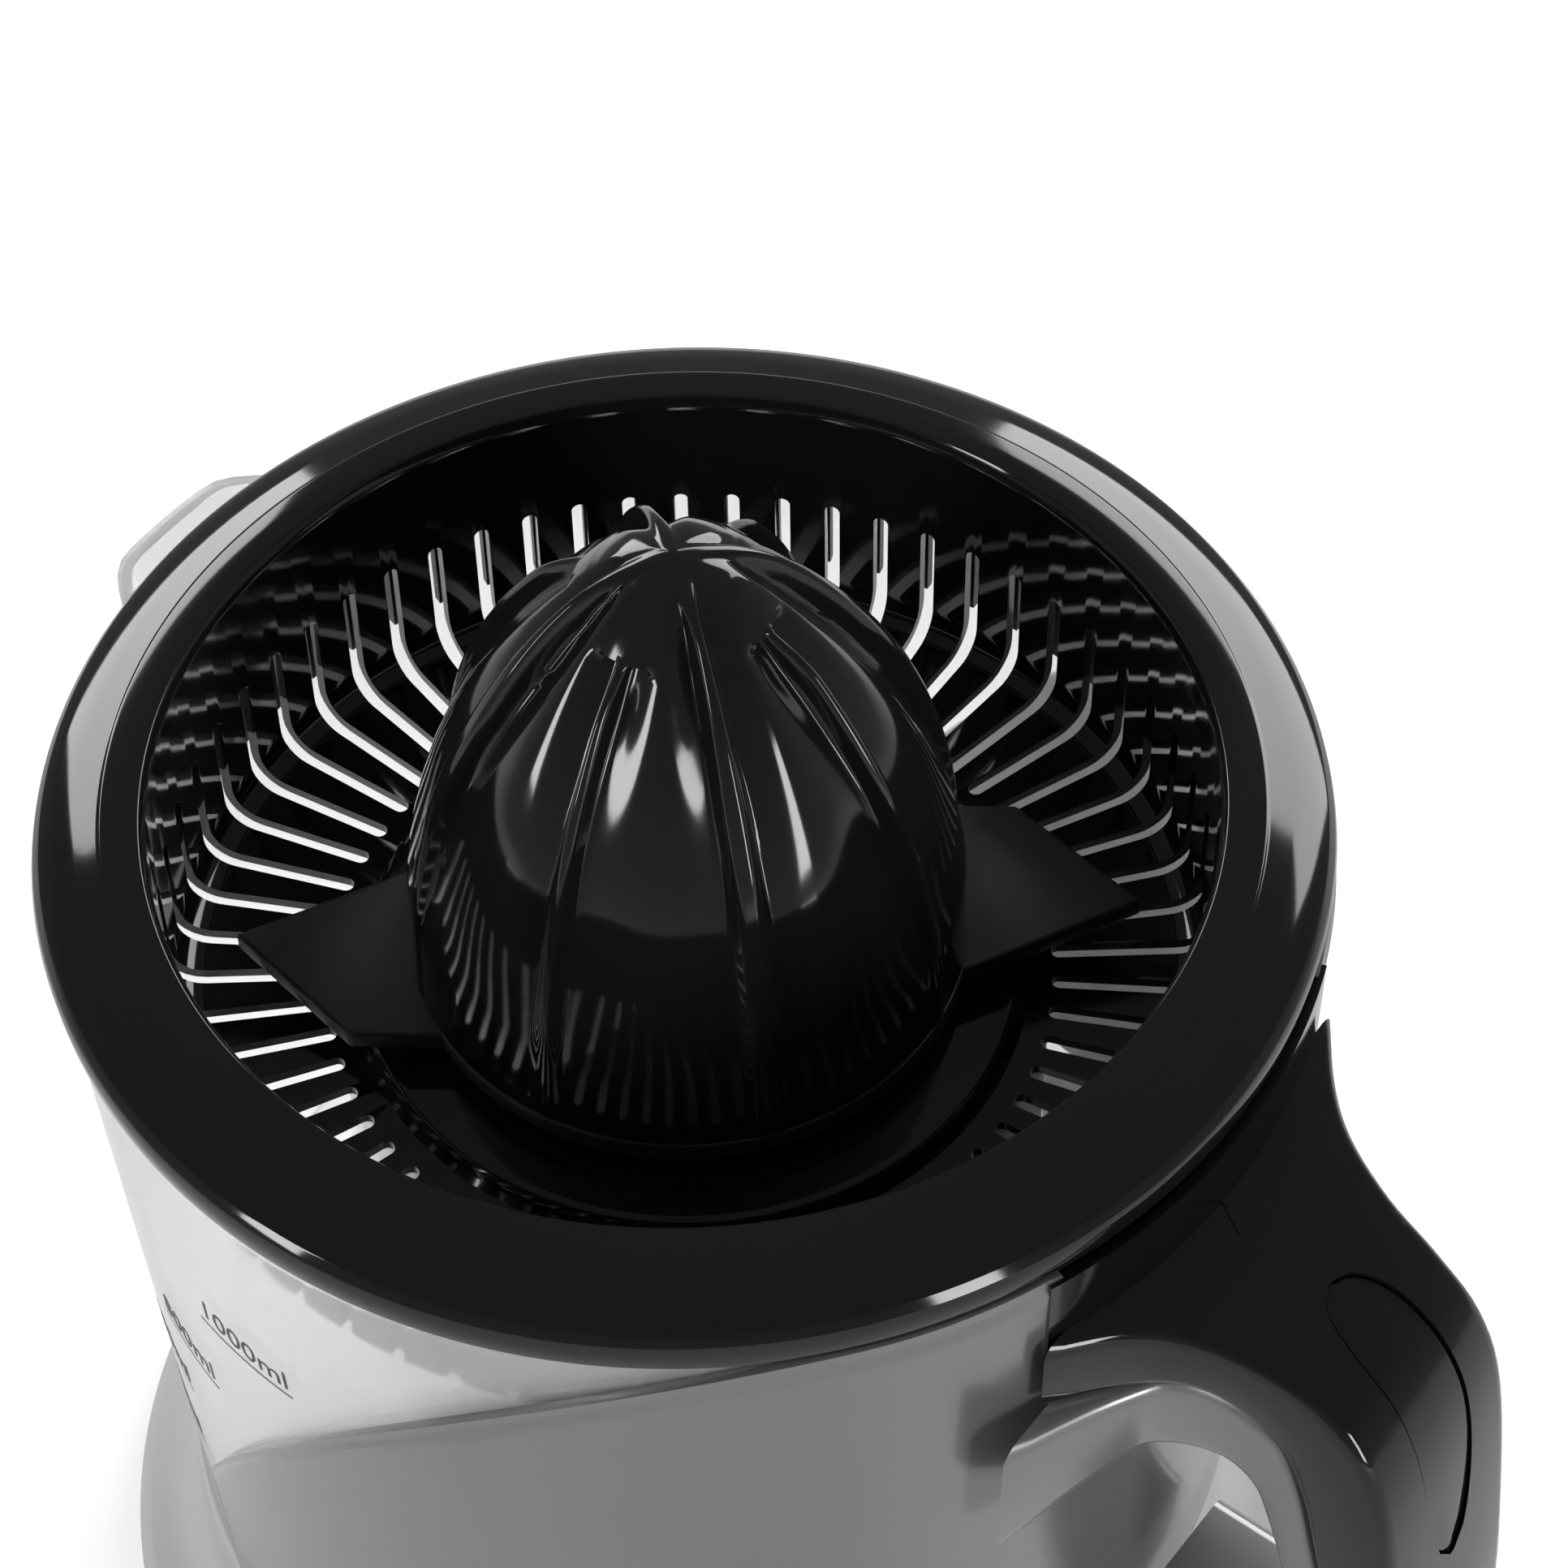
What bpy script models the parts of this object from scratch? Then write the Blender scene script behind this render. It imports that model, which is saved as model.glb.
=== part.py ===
"""A one litre citrus press: motor base with a tower, clear jug with a grey shell and handle,
slotted strainer with a funnel ring, pulp selector and two nested cones. Metres, +Z up.
The handle points along +X and the spout along -X. Sizes below are in millimetres."""

from math import cos, hypot, pi, radians, sin, tau

import bmesh
import bpy
from mathutils import Matrix, Vector

MM = 0.001
GAP = 0.3  # between two pieces that touch on the real press

# Overall sizes
LIP_Z = 168.0  # top of the funnel ring above the table
CONE_Z = 208.0  # tip of the large cone
RING_R = 80.0  # outside of the funnel ring
SEAT_Z = 40.0  # where the jug stands on the base
BASE_R = 88.0  # widest part of the foot of the base
HANDLE_REACH = 121.0  # from the drive axis to the outside of the grip
SPOUT_REACH = 89.0
AXIS_X = -(HANDLE_REACH - SPOUT_REACH) / 2  # puts the middle of the whole press at X = 0

# Funnel ring
LIP_R = 66.4
CREASE_R = 72.0
RING_DROP = 4.6  # height lost from the lip to the outer edge
RING_WALL = 2.0
SKIRT_LOW = 8.2  # skirt's lower edge below the lip
SKIRT_WALL = 1.4

# Strainer basket
BASKET_R = 67.4  # inside of the basket wall
BASKET_WALL = 1.8
BASKET_DEPTH = 37.5
CORNER = 4.0
SLOTS = 60
SLOT_W = 1.8
SLOT_TOP = 19.0  # below the lip
SLOT_INNER_R = 47.0
BOSS_R = 43.5
BOSS_UP = 3.0
FLANGE_LOW = 7.0  # underside of the basket's flange below the lip
FLANGE_T = 1.8
HUB_BORE = 12.7
HUB_WALL = 1.8
HUB_TOP = 147.5

# Pulp selector
COMB_T = 1.4
COMB_DEPTH = 34.0
SELECTOR_T = 1.4
TAB_HALF = 28.0  # degrees each side of the handle
TAB_DROP = 17.5  # lower edge of the toothed tab below the lip
TAB_TEETH = 24
TAB_T = 1.6

# Jug
JUG_TOP_R = 79.6
JUG_LOW_R = 74.8
JUG_WALL = 2.3
RIM_LOW = 9.0  # rim below the lip
RIM_NOTCH = 9.6  # how much lower the rim is behind the handle
COLUMN_R = 47.8
COLUMN_WALL = 2.2
COLUMN_TOP = 124.5
COLLAR_R = 12.2
COLLAR_WALL = 2.2
COLLAR_TOP = 146.0
SPOUT_HALF = 15.0  # degrees
SPOUT_HEIGHT = 34.0

# Grey shell and handle
SHELL_T = 1.6
SHELL_HALF = 112.0  # degrees each side of the handle
SHELL_FLAT = 50.0  # degrees over which its upper edge stays level
SHELL_DROP = 73.0
SHELL_LOW = 9.9
GRIP_HALF = 14.0
INLAY_HALF = 6.0
INLAY_T = 1.5
COVER_SCREW_R = 2.6

# Motor base
BASE_WALL = 2.2
TOWER_R = COLUMN_R - 2.9  # the column of the jug slips over the tower
TOWER_TOP = 121.5
TOWER_COLLAR_R = 8.5
TOWER_COLLAR_TOP = 140.0
FOOT_H = 4.0
FOOT_R = 8.0
FOOT_CIRCLE = 68.0
COVER_T = 2.2
GLAND_R = 4.6
GLAND_Z = 15.0

# Drive
SHAFT_R = 4.2  # across the corners of the hexagon
BORE_R = 4.7
SHAFT_LOW = 107.0
SHAFT_TOP = 163.0
PRESS = 2.5
MOTOR_R = TOWER_R - 10.9
MOTOR_FRAME_T = 2.0
MOTOR_FLOOR = 34.0
MOTOR_TOP = 84.0
STATOR_BORE = 15.0
STATOR_LOW = 42.0
STATOR_H = 32.0
ROTOR_SHAFT_R = 3.0
GEAR_MODULE = 1.0
SUN_TEETH = 12
PLANET_TEETH = 18
RING_TEETH = SUN_TEETH + 2 * PLANET_TEETH
PLANETS = 3
PLATE_T = 3.0
GEAR_T = 8.6
CARRIER_Z = 98.0
CARRIER_T = 3.0
GEARCASE_TOP = 103.6
HUB_R = 8.0
PIN_R = 2.0
SWITCH_X = 12.5

# Cones
CONE_R = 36.2
CONE_RIM = 140.3
CONE_WALL = 2.4
CONE_RIBS = 10
RIB_H = 1.7
INNER_RIM = 137.0
INNER_R = 27.0
INNER_TIP = 186.0
SOCKET_R = 8.5
SOCKET_LOW = 144.0
WING_REACH = 58.5
WING_TURN = 38.0  # degrees from the handle to the first wing

FINE, MEDIUM, COARSE = 60, 40, 24

COLOURS = {
    "black_gloss": ((0.012, 0.012, 0.013), 0.12, 0.0),
    "black_matt": ((0.02, 0.02, 0.02), 0.5, 0.0),
    "clear": ((0.86, 0.88, 0.88), 0.05, 0.0),
    "grey": ((0.3, 0.3, 0.31), 0.35, 0.3),
    "silver": ((0.62, 0.62, 0.62), 0.3, 0.4),
    "steel": ((0.55, 0.55, 0.56), 0.3, 1.0),
    "copper": ((0.7, 0.3, 0.12), 0.35, 1.0),
    "nylon": ((0.8, 0.78, 0.72), 0.45, 0.0),
    "rubber": ((0.03, 0.03, 0.03), 0.8, 0.0),
}


def clear_scene():
    for thing in list(bpy.data.objects):
        bpy.data.objects.remove(thing)


def material(name):
    """One Principled material for each finish, made the first time it is asked for."""
    found = bpy.data.materials.get(name)
    if found:
        return found
    made = bpy.data.materials.new(name)
    made.use_nodes = True
    shader = made.node_tree.nodes["Principled BSDF"]
    colour, rough, metal = COLOURS[name]
    shader.inputs["Base Color"].default_value = (*colour, 1)
    shader.inputs["Roughness"].default_value = rough
    shader.inputs["Metallic"].default_value = metal
    return made


def pivot(name, x=0.0, y=0.0, parent=None):
    """An empty on a joint's axis, given relative to the drive axis."""
    empty = bpy.data.objects.new(name, None)
    bpy.context.scene.collection.objects.link(empty)
    empty.parent = parent
    empty.location = (x * MM, y * MM, 0)
    return empty


def finish(mesh, name, finish_name, parent, smooth=30):
    """Turns a bmesh in millimetres into a named object under its empty."""
    bmesh.ops.remove_doubles(mesh, verts=mesh.verts, dist=0.001)
    bmesh.ops.recalc_face_normals(mesh, faces=mesh.faces)
    bmesh.ops.scale(mesh, vec=(MM, MM, MM), verts=mesh.verts)
    data = bpy.data.meshes.new(name)
    mesh.to_mesh(data)
    mesh.free()
    data.shade_smooth()
    data.set_sharp_from_angle(angle=radians(smooth))
    data.materials.append(material(finish_name))
    thing = bpy.data.objects.new(name, data)
    bpy.context.scene.collection.objects.link(thing)
    thing.parent = parent
    return thing


def turned(profile, steps, centre=(0, 0)):
    """A profile of (radius, height) points spun once around Z."""
    mesh = bmesh.new()
    points = [mesh.verts.new((r, 0, z)) for r, z in profile]
    edges = [mesh.edges.new((a, b)) for a, b in zip(points, points[1:] + points[:1])]
    edges = [e for e in edges if max(abs(v.co.x) for v in e.verts) > 1e-6]
    bmesh.ops.spin(mesh, geom=points + edges, cent=(0, 0, 0), axis=(0, 0, 1),
                   angle=tau, steps=steps, use_merge=True)
    bmesh.ops.remove_doubles(mesh, verts=mesh.verts, dist=0.001)
    loose = [e for e in mesh.edges if not e.link_faces]
    bmesh.ops.delete(mesh, geom=loose, context="EDGES")
    bmesh.ops.recalc_face_normals(mesh, faces=mesh.faces)
    bmesh.ops.translate(mesh, vec=(*centre, 0), verts=mesh.verts)
    return mesh


def ring(inner, outer, low, high):
    return [(outer, high), (outer, low), (inner, low), (inner, high)]


def disc(radius, low, high):
    return [(0, high), (radius, high), (radius, low), (0, low)]


def loft(sections):
    """A closed skin through loops of the same number of points, with both ends filled."""
    mesh = bmesh.new()
    rows = [[mesh.verts.new(point) for point in section] for section in sections]
    for row, following in zip(rows, rows[1:]):
        for a, b, c, d in zip(row, row[1:] + row[:1], following[1:] + following[:1], following):
            mesh.faces.new((a, b, c, d))
    mesh.faces.new(rows[0])
    mesh.faces.new(rows[-1][::-1])
    bmesh.ops.recalc_face_normals(mesh, faces=mesh.faces)
    return mesh


def prism(outline, low, high):
    return loft([[(x, y, low) for x, y in outline], [(x, y, high) for x, y in outline]])


def polygon(radius, sides, turn=0.0, centre=(0, 0)):
    angles = [turn + tau * k / sides for k in range(sides)]
    return [(centre[0] + radius * cos(a), centre[1] + radius * sin(a)) for a in angles]


def join(*meshes):
    """Several bmeshes as the loose parts of one."""
    whole = bmesh.new()
    for part in meshes:
        data = bpy.data.meshes.new("part")
        part.to_mesh(data)
        part.free()
        whole.from_mesh(data)
        bpy.data.meshes.remove(data)
    return whole


def cut(target, operation, *cutters):
    """Applies Boolean modifiers, and leaves the cutters out of the model."""
    for cutter in cutters:
        cutter.hide_render = True
        cutter.hide_set(True)
        cutter.display_type = "WIRE"
        step = target.modifiers.new(operation.lower(), "BOOLEAN")
        step.operation = operation
        step.solver = "EXACT"
        step.object = cutter


def rounded_box(half_y, top, low, x_top, x_low, chamfer):
    """An eight-sided loop across the handle, from its outer side to its inner side."""
    along = Vector((x_low - x_top, 0, low - top))
    unit = along.normalized() * chamfer
    outer, inner = Vector((x_top, 0, top)), Vector((x_low, 0, low))
    side, narrow = Vector((0, half_y, 0)), Vector((0, half_y - chamfer, 0))
    return [outer - narrow, outer + narrow, outer + unit + side, inner - unit + side,
            inner + narrow, inner - narrow, inner - unit - side, outer + unit - side]


def smooth_step(value):
    value = min(max(value, 0.0), 1.0)
    return value * value * (3 - 2 * value)


def jug_radius(z):
    """Outside of the clear jug at a height."""
    share = (z - SEAT_Z) / (LIP_Z - RIM_LOW - SEAT_Z)
    return JUG_LOW_R + (JUG_TOP_R - JUG_LOW_R) * share


def gear_outline(teeth, centre=(0, 0), turn=0.0, inward=False):
    """Straight-sided teeth, thinned for backlash. A tooth stands at the angle turn."""
    pitch_r = GEAR_MODULE * teeth / 2
    tip, root = 0.75 * GEAR_MODULE, -1.05 * GEAR_MODULE
    if inward:
        tip, root = -tip, -root
    points = []
    for k in range(teeth):
        middle = turn + tau * k / teeth
        for share, height in ((-0.26, root), (-0.12, tip), (0.12, tip), (0.26, root)):
            angle = middle + share * tau / teeth
            r = pitch_r + height
            points.append((centre[0] + r * cos(angle), centre[1] + r * sin(angle)))
    return points


# ---------------------------------------------------------------- motor base


def base_profile():
    flare = [(76.0, SEAT_Z - 1.2), (77.6, 33.0), (80.4, 26.0), (84.2, 19.0), (86.8, 13.0),
             (BASE_R, 8.0)]
    inside = [(r - BASE_WALL, z - 1.0) for r, z in flare[::-1]]
    low = FOOT_H + GAP
    top = TOWER_TOP
    return ([(BASE_R - 1.5, low), (BASE_R - 1.5 - BASE_WALL, low)] + inside[:-1]
            + [(74.0, SEAT_Z - BASE_WALL - 0.3), (TOWER_R - BASE_WALL, SEAT_Z - BASE_WALL - 0.3),
               (TOWER_R - BASE_WALL - 0.6, top - BASE_WALL - 2), (TOWER_R - 6, top - BASE_WALL),
               (BORE_R, top - BASE_WALL), (BORE_R, 134.5), (6.5, 134.5),
               (6.5, TOWER_COLLAR_TOP), (TOWER_COLLAR_R, TOWER_COLLAR_TOP),
               (TOWER_COLLAR_R, top), (TOWER_R - 4, top), (TOWER_R - 0.6, top - 3),
               (TOWER_R, SEAT_Z - 0.3), (75.0, SEAT_Z - 0.3)]
            + flare)


def radial_plug(radius, start, end, z, sides=16):
    """A cylinder that lies along +Y, from start to end, at a height."""
    mesh = prism(polygon(radius, sides), start, end)
    turn = Matrix.Translation((0, 0, z)) @ Matrix.Rotation(-pi / 2, 4, "X")
    bmesh.ops.transform(mesh, matrix=turn, verts=mesh.verts)
    return mesh


def make_base(axis):
    housing = finish(turned(base_profile(), MEDIUM), "base_housing", "silver", axis)
    hole = finish(radial_plug(GLAND_R + GAP, BASE_R - 18, BASE_R + 12, GLAND_Z), "gland_cutter", "steel", axis)
    cut(housing, "DIFFERENCE", hole)
    gland = finish(radial_plug(GLAND_R, BASE_R - 10, BASE_R - 0.2, GLAND_Z), "cord_gland", "rubber", axis)
    bore = finish(radial_plug(2.6, BASE_R - 18, BASE_R + 12, GLAND_Z, 12), "gland_bore_cutter", "steel", axis)
    cut(gland, "DIFFERENCE", bore)
    cover_r = BASE_R - 1.5 - BASE_WALL - GAP
    floor = FOOT_H + GAP
    finish(turned([(0, floor + COVER_T), (cover_r - 6, floor + COVER_T),
                   (cover_r - 6, floor + COVER_T + 3), (cover_r - 1, floor + COVER_T + 3),
                   (cover_r - 1, floor + COVER_T), (cover_r, floor), (0, floor)], MEDIUM),
           "bottom_cover", "black_matt", axis)
    for k in range(4):
        angle = pi / 4 + k * pi / 2
        place = (FOOT_CIRCLE * cos(angle), FOOT_CIRCLE * sin(angle))
        finish(turned([(0, FOOT_H), (FOOT_R, FOOT_H), (FOOT_R - 1, 0), (0, 0)], 20, place),
               f"foot_{k + 1}", "rubber", axis)
    for k in range(3):
        angle = pi / 6 + k * tau / 3
        place = (52 * cos(angle), 52 * sin(angle))
        finish(turned(disc(3.2, FOOT_H - 1.6, FOOT_H), 12, place),
               f"cover_screw_{k + 1}", "steel", axis)


# ---------------------------------------------------------------- drive


def make_motor(axis):
    cover_top = FOOT_H + GAP + COVER_T
    inner = MOTOR_R - MOTOR_FRAME_T
    frame = [(inner, MOTOR_TOP), (MOTOR_R, MOTOR_TOP), (MOTOR_R, cover_top + GAP),
             (inner, cover_top + GAP), (inner, MOTOR_FLOOR),
             (ROTOR_SHAFT_R + GAP, MOTOR_FLOOR), (ROTOR_SHAFT_R + GAP, MOTOR_FLOOR + 6),
             (8.0, MOTOR_FLOOR + 6), (8.0, MOTOR_FLOOR + 2.5), (22.0, MOTOR_FLOOR + 2.5),
             (22.0, STATOR_LOW - GAP), (inner, STATOR_LOW - GAP)]
    finish(turned(frame, 32), "motor_frame", "steel", axis)
    top = STATOR_LOW + STATOR_H
    finish(turned(ring(STATOR_BORE, inner - GAP, STATOR_LOW, top), 32),
           "motor_stator", "steel", axis)
    finish(turned(ring(STATOR_BORE + 2, inner - 5, top + GAP, top + 7), 24),
           "motor_winding", "copper", axis)
    rotor = pivot("rotor_axis", parent=axis)
    finish(turned(ring(ROTOR_SHAFT_R + GAP, STATOR_BORE - 0.6, STATOR_LOW - 1, top + 1), 24),
           "motor_rotor", "steel", rotor)
    finish(turned(disc(ROTOR_SHAFT_R, MOTOR_FLOOR - 4, 88.0), 16), "motor_shaft", "steel", rotor)
    finish(prism(gear_outline(SUN_TEETH), 88.0 + GAP, 88.0 + GEAR_T), "sun_gear", "steel", rotor)
    return rotor


def make_gearbox(axis):
    low = MOTOR_TOP + GAP
    plate_top = low + PLATE_T
    out_r = GEAR_MODULE * RING_TEETH / 2 + 6
    finish(turned(ring(ROTOR_SHAFT_R + GAP, MOTOR_R - 1, low, plate_top), 32),
           "gearbox_plate", "steel", axis)
    case = finish(prism(polygon(out_r, 48), plate_top + GAP, GEARCASE_TOP),
                  "ring_gear", "nylon", axis)
    teeth = finish(prism(gear_outline(RING_TEETH, inward=True), plate_top - 1,
                         GEARCASE_TOP + 1), "ring_gear_cutter", "steel", axis)
    cut(case, "DIFFERENCE", teeth)
    finish(turned(ring(HUB_R + 1.2, out_r, GEARCASE_TOP + GAP, GEARCASE_TOP + 2.4), 32),
           "gearbox_lid", "steel", axis)
    carrier_axis = pivot("output_axis", parent=axis)
    body = [(0, CARRIER_Z), (0, CARRIER_Z + 1.5), (BORE_R, CARRIER_Z + 1.5), (BORE_R, 112.0),
            (HUB_R, 112.0), (HUB_R, CARRIER_Z + CARRIER_T), (20.0, CARRIER_Z + CARRIER_T),
            (20.0, CARRIER_Z)]
    carrier = finish(turned(body, 24), "planet_carrier", "nylon", carrier_axis)
    reach = GEAR_MODULE * (SUN_TEETH + PLANET_TEETH) / 2
    planet_low, planet_high = 88.2, 88.2 + GEAR_T
    for k in range(PLANETS):
        angle = tau * k / PLANETS
        place = (reach * cos(angle), reach * sin(angle))
        pin = finish(turned(disc(PIN_R, planet_low, CARRIER_Z + 1), 12, place),
                     f"carrier_pin_{k + 1}_join", "steel", carrier_axis)
        cut(carrier, "UNION", pin)
        own = pivot(f"planet_axis_{k + 1}", *place, parent=carrier_axis)
        gap_turn = angle + pi + pi / PLANET_TEETH
        gear = finish(prism(gear_outline(PLANET_TEETH, turn=gap_turn), planet_low, planet_high),
                      f"planet_gear_{k + 1}", "nylon", own)
        bore = finish(prism(polygon(PIN_R + GAP, 12), planet_low - 1, planet_high + 1),
                      f"planet_bore_{k + 1}_cutter", "steel", own)
        cut(gear, "DIFFERENCE", bore)
    return carrier_axis


def spring_path(radius, low, high, turns, per_turn=10):
    count = turns * per_turn
    return [(radius * cos(tau * k / per_turn), radius * sin(tau * k / per_turn),
             low + (high - low) * k / count) for k in range(count + 1)]


def make_shaft(carrier_axis, axis):
    shaft_axis = pivot("shaft_axis", parent=carrier_axis)
    finish(prism(polygon(SHAFT_R, 6), SHAFT_LOW, SHAFT_TOP), "drive_shaft", "steel", shaft_axis)
    collar_low = 116.0
    finish(turned(ring(SHAFT_R + GAP, 15.0, collar_low, collar_low + 1.5), 24),
           "shaft_collar", "nylon", shaft_axis)
    wire = bpy.data.curves.new("return_spring", "CURVE")
    wire.dimensions = "3D"
    wire.bevel_depth = 0.45 * MM
    wire.bevel_resolution = 0
    wire.use_fill_caps = True
    path = spring_path(3.0, CARRIER_Z + 1.5 + 0.45 + GAP, SHAFT_LOW - 0.45 - GAP, 4)
    line = wire.splines.new("POLY")
    line.points.add(len(path) - 1)
    for point, place in zip(line.points, path):
        point.co = (*(Vector(place) * MM), 1)
    wire.materials.append(material("steel"))
    spring = bpy.data.objects.new("return_spring", wire)
    bpy.context.scene.collection.objects.link(spring)
    spring.parent = carrier_axis
    lid_top = GEARCASE_TOP + 2.4
    body_top = collar_low - 3.8
    middle = [(SWITCH_X - 3.2, -6), (SWITCH_X + 5, -6), (SWITCH_X + 5, 6), (SWITCH_X - 3.2, 6)]
    switch = finish(prism(middle, lid_top + GAP, body_top), "micro_switch", "black_matt", axis)
    well = finish(turned(disc(1.3 + GAP, lid_top + 2.4, body_top + 1), 12, (SWITCH_X, 0)),
                  "switch_well_cutter", "steel", axis)
    cut(switch, "DIFFERENCE", well)
    plunger_axis = pivot("plunger_axis", SWITCH_X, parent=axis)
    finish(turned(disc(1.3, lid_top + 2.4 + PRESS + GAP, collar_low - GAP), 12),
           "switch_plunger", "nylon", plunger_axis)
    finish(turned(ring(SHAFT_R + 0.25, 6.5 - GAP, 134.5 + GAP, TOWER_COLLAR_TOP - 0.6), 18),
           "shaft_seal", "rubber", axis)


# ---------------------------------------------------------------- jug, shell and handle


def shape_rim(mesh):
    """Pushes out the spout at -X, and lowers the rim behind the handle at +X."""
    rim = LIP_Z - RIM_LOW
    push = SPOUT_REACH - JUG_TOP_R
    for vert in mesh.verts:
        x, y, z = vert.co
        r = hypot(x, y)
        if r < COLUMN_R + 5 or z < SEAT_Z + 20:
            continue
        side = abs(Vector((x, y)).angle_signed(Vector((-1, 0)), 0)) * 180 / pi
        rise = smooth_step((z - (rim - SPOUT_HEIGHT)) / SPOUT_HEIGHT)
        out = push * rise * (1 - smooth_step(side / SPOUT_HALF))
        vert.co.x += x / r * out
        vert.co.y += y / r * out
        notch = smooth_step((180 - side - 34) / 6)
        if z > rim - 1:
            drop = RIM_NOTCH * (1 - notch)
            draft = jug_radius(z) - jug_radius(z - drop)
            vert.co.x -= x / r * draft
            vert.co.y -= y / r * draft
            vert.co.z -= drop


def jug_profile():
    rim, low = LIP_Z - RIM_LOW, SEAT_Z
    bands = [rim, rim - 12, rim - SPOUT_HEIGHT, low + 24]
    outer = [(jug_radius(z), z) for z in bands] + [(jug_radius(low), low + 2), (73.6, low)]
    inner = [(jug_radius(z) - JUG_WALL, z) for z in bands[::-1]]
    column_in = COLUMN_R - COLUMN_WALL
    return (outer + [(column_in, low), (column_in - 0.6, COLUMN_TOP - 6),
                     (column_in - 3, COLUMN_TOP - 2.2), (COLLAR_R - COLLAR_WALL, COLUMN_TOP - 2.2),
                     (COLLAR_R - COLLAR_WALL, COLLAR_TOP), (COLLAR_R, COLLAR_TOP),
                     (COLLAR_R, COLUMN_TOP), (COLUMN_R - 4, COLUMN_TOP),
                     (COLUMN_R - 1, COLUMN_TOP - 3), (COLUMN_R, low + 3),
                     (jug_radius(low + 3) - JUG_WALL, low + 3)] + inner)


def shell_top(angle):
    """Height of the shell's swept upper edge at an angle from the handle, in degrees."""
    share = max(abs(angle) - SHELL_FLAT, 0) / (SHELL_HALF - SHELL_FLAT)
    notch = 1 - smooth_step((abs(angle) - 34) / 6)
    return LIP_Z - SHELL_LOW - SHELL_DROP * share**2 - (RIM_NOTCH + 0.4) * notch


def shell_wall():
    sections = []
    low = SEAT_Z + 2.5
    for k in range(57):
        angle = SHELL_HALF * (k / 28 - 1)
        high = shell_top(angle)
        levels = [low, low + (high - low) * 0.5, high]
        loop = [(jug_radius(z) + GAP + SHELL_T, z) for z in levels]
        loop += [(jug_radius(z) + GAP, z) for z in levels[::-1]]
        a = radians(angle)
        sections.append([(r * cos(a), r * sin(a), z) for r, z in loop])
    return loft(sections)


def handle_stations():
    """Outer, split and inner points of the handle as (x, below the lip), and half its width."""
    reach = HANDLE_REACH
    return [
        ((88.0, 22.5), (88.0, 33.5), (86.0, 57.0), 18.5),
        ((96.0, 25.0), (93.5, 36.5), (92.5, 56.5), 15.5),
        ((104.0, 28.0), (99.5, 41.0), (97.0, 59.0), GRIP_HALF),
        ((111.0, 34.0), (103.5, 49.0), (99.8, 64.0), GRIP_HALF),
        ((115.5, 45.0), (106.5, 60.0), (102.5, 71.0), GRIP_HALF),
        ((reach - 2.0, 68.0), (110.5, 76.0), (105.5, 81.0), GRIP_HALF),
        ((reach, 90.0), (112.5, 93.0), (107.0, 93.0), GRIP_HALF),
        ((reach - 1.0, 106.0), (111.5, 106.0), (106.0, 102.0), GRIP_HALF),
        ((reach - 6.0, 117.0), (107.5, 114.0), (101.5, 107.0), GRIP_HALF),
    ]


def wall_cutter(name, offset, axis):
    """A plug that fills the jug and shell, so that the handle ends on their round wall."""
    low, high = SEAT_Z - 10, LIP_Z + 5
    profile = [(0, high)]
    profile += [(jug_radius(z) + GAP + SHELL_T + offset, z) for z in (high, low)]
    return finish(turned(profile + [(0, low)], 72), name, "steel", axis)


def make_handle(axis, shell):
    stations = handle_stations()
    root = JUG_LOW_R - 6
    grip = [rounded_box(22.0, LIP_Z - 33.8, LIP_Z - 62.0, root, root, 2.0)]
    cover = [rounded_box(22.0, LIP_Z - 19.6, LIP_Z - 33.2, root, root, 2.0)]
    for (ox, oz), (sx, sz), (ix, iz), half in stations:
        along = Vector((ix - ox, oz - iz)).normalized() * GAP
        grip.append(rounded_box(half, LIP_Z - sz + along.y, LIP_Z - iz, sx + along.x, ix, 2.0))
        cover.append(rounded_box(half, LIP_Z - oz, LIP_Z - sz, ox, sx, 2.0))
    grip.append(rounded_box(GRIP_HALF, LIP_Z - 123.5, LIP_Z - 108.5, 104.0, 96.0, 2.0))
    grip.append(rounded_box(GRIP_HALF, LIP_Z - 124.5, LIP_Z - 109.0, root, root, 2.0))
    grip_join = finish(loft(grip), "handle_join", "grey", axis)
    cut(grip_join, "DIFFERENCE", wall_cutter("grip_end_cutter", -0.8, axis))
    cut(shell, "UNION", grip_join)
    black = finish(loft(cover), "handle_cover", "black_gloss", axis)
    cut(black, "DIFFERENCE", wall_cutter("cover_end_cutter", GAP, axis))
    inlay, pocket = [], []
    for (ox, oz), (sx, sz), _, _ in stations[2:7]:
        inward = Vector((sx - ox, 0, oz - sz)).normalized()
        outer = Vector((ox, 0, LIP_Z - oz))
        for loops, half, start, depth in ((inlay, INLAY_HALF, GAP, INLAY_T),
                                          (pocket, INLAY_HALF + GAP, -2.0, INLAY_T + GAP)):
            side = Vector((0, half, 0))
            top, low = outer + inward * start, outer + inward * depth
            loops.append([top - side, top + side, low + side, low - side])
    for loops, inset in ((inlay, 1.0), (pocket, 1.0 - GAP)):
        first = (Vector(loops[1][0]) - Vector(loops[0][0])).normalized() * inset
        last = (Vector(loops[-2][0]) - Vector(loops[-1][0])).normalized() * inset
        loops[0] = [p + first for p in loops[0]]
        loops[-1] = [p + last for p in loops[-1]]
    hole = finish(loft(pocket), "inlay_cutter", "steel", axis)
    cut(black, "DIFFERENCE", hole)
    finish(loft(inlay), "handle_inlay", "black_matt", axis)
    under = LIP_Z - 57.0
    finish(turned(disc(COVER_SCREW_R, under - 2.0, under - GAP), 12, (90.0, 0)),
           "handle_screw", "steel", axis)


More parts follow.
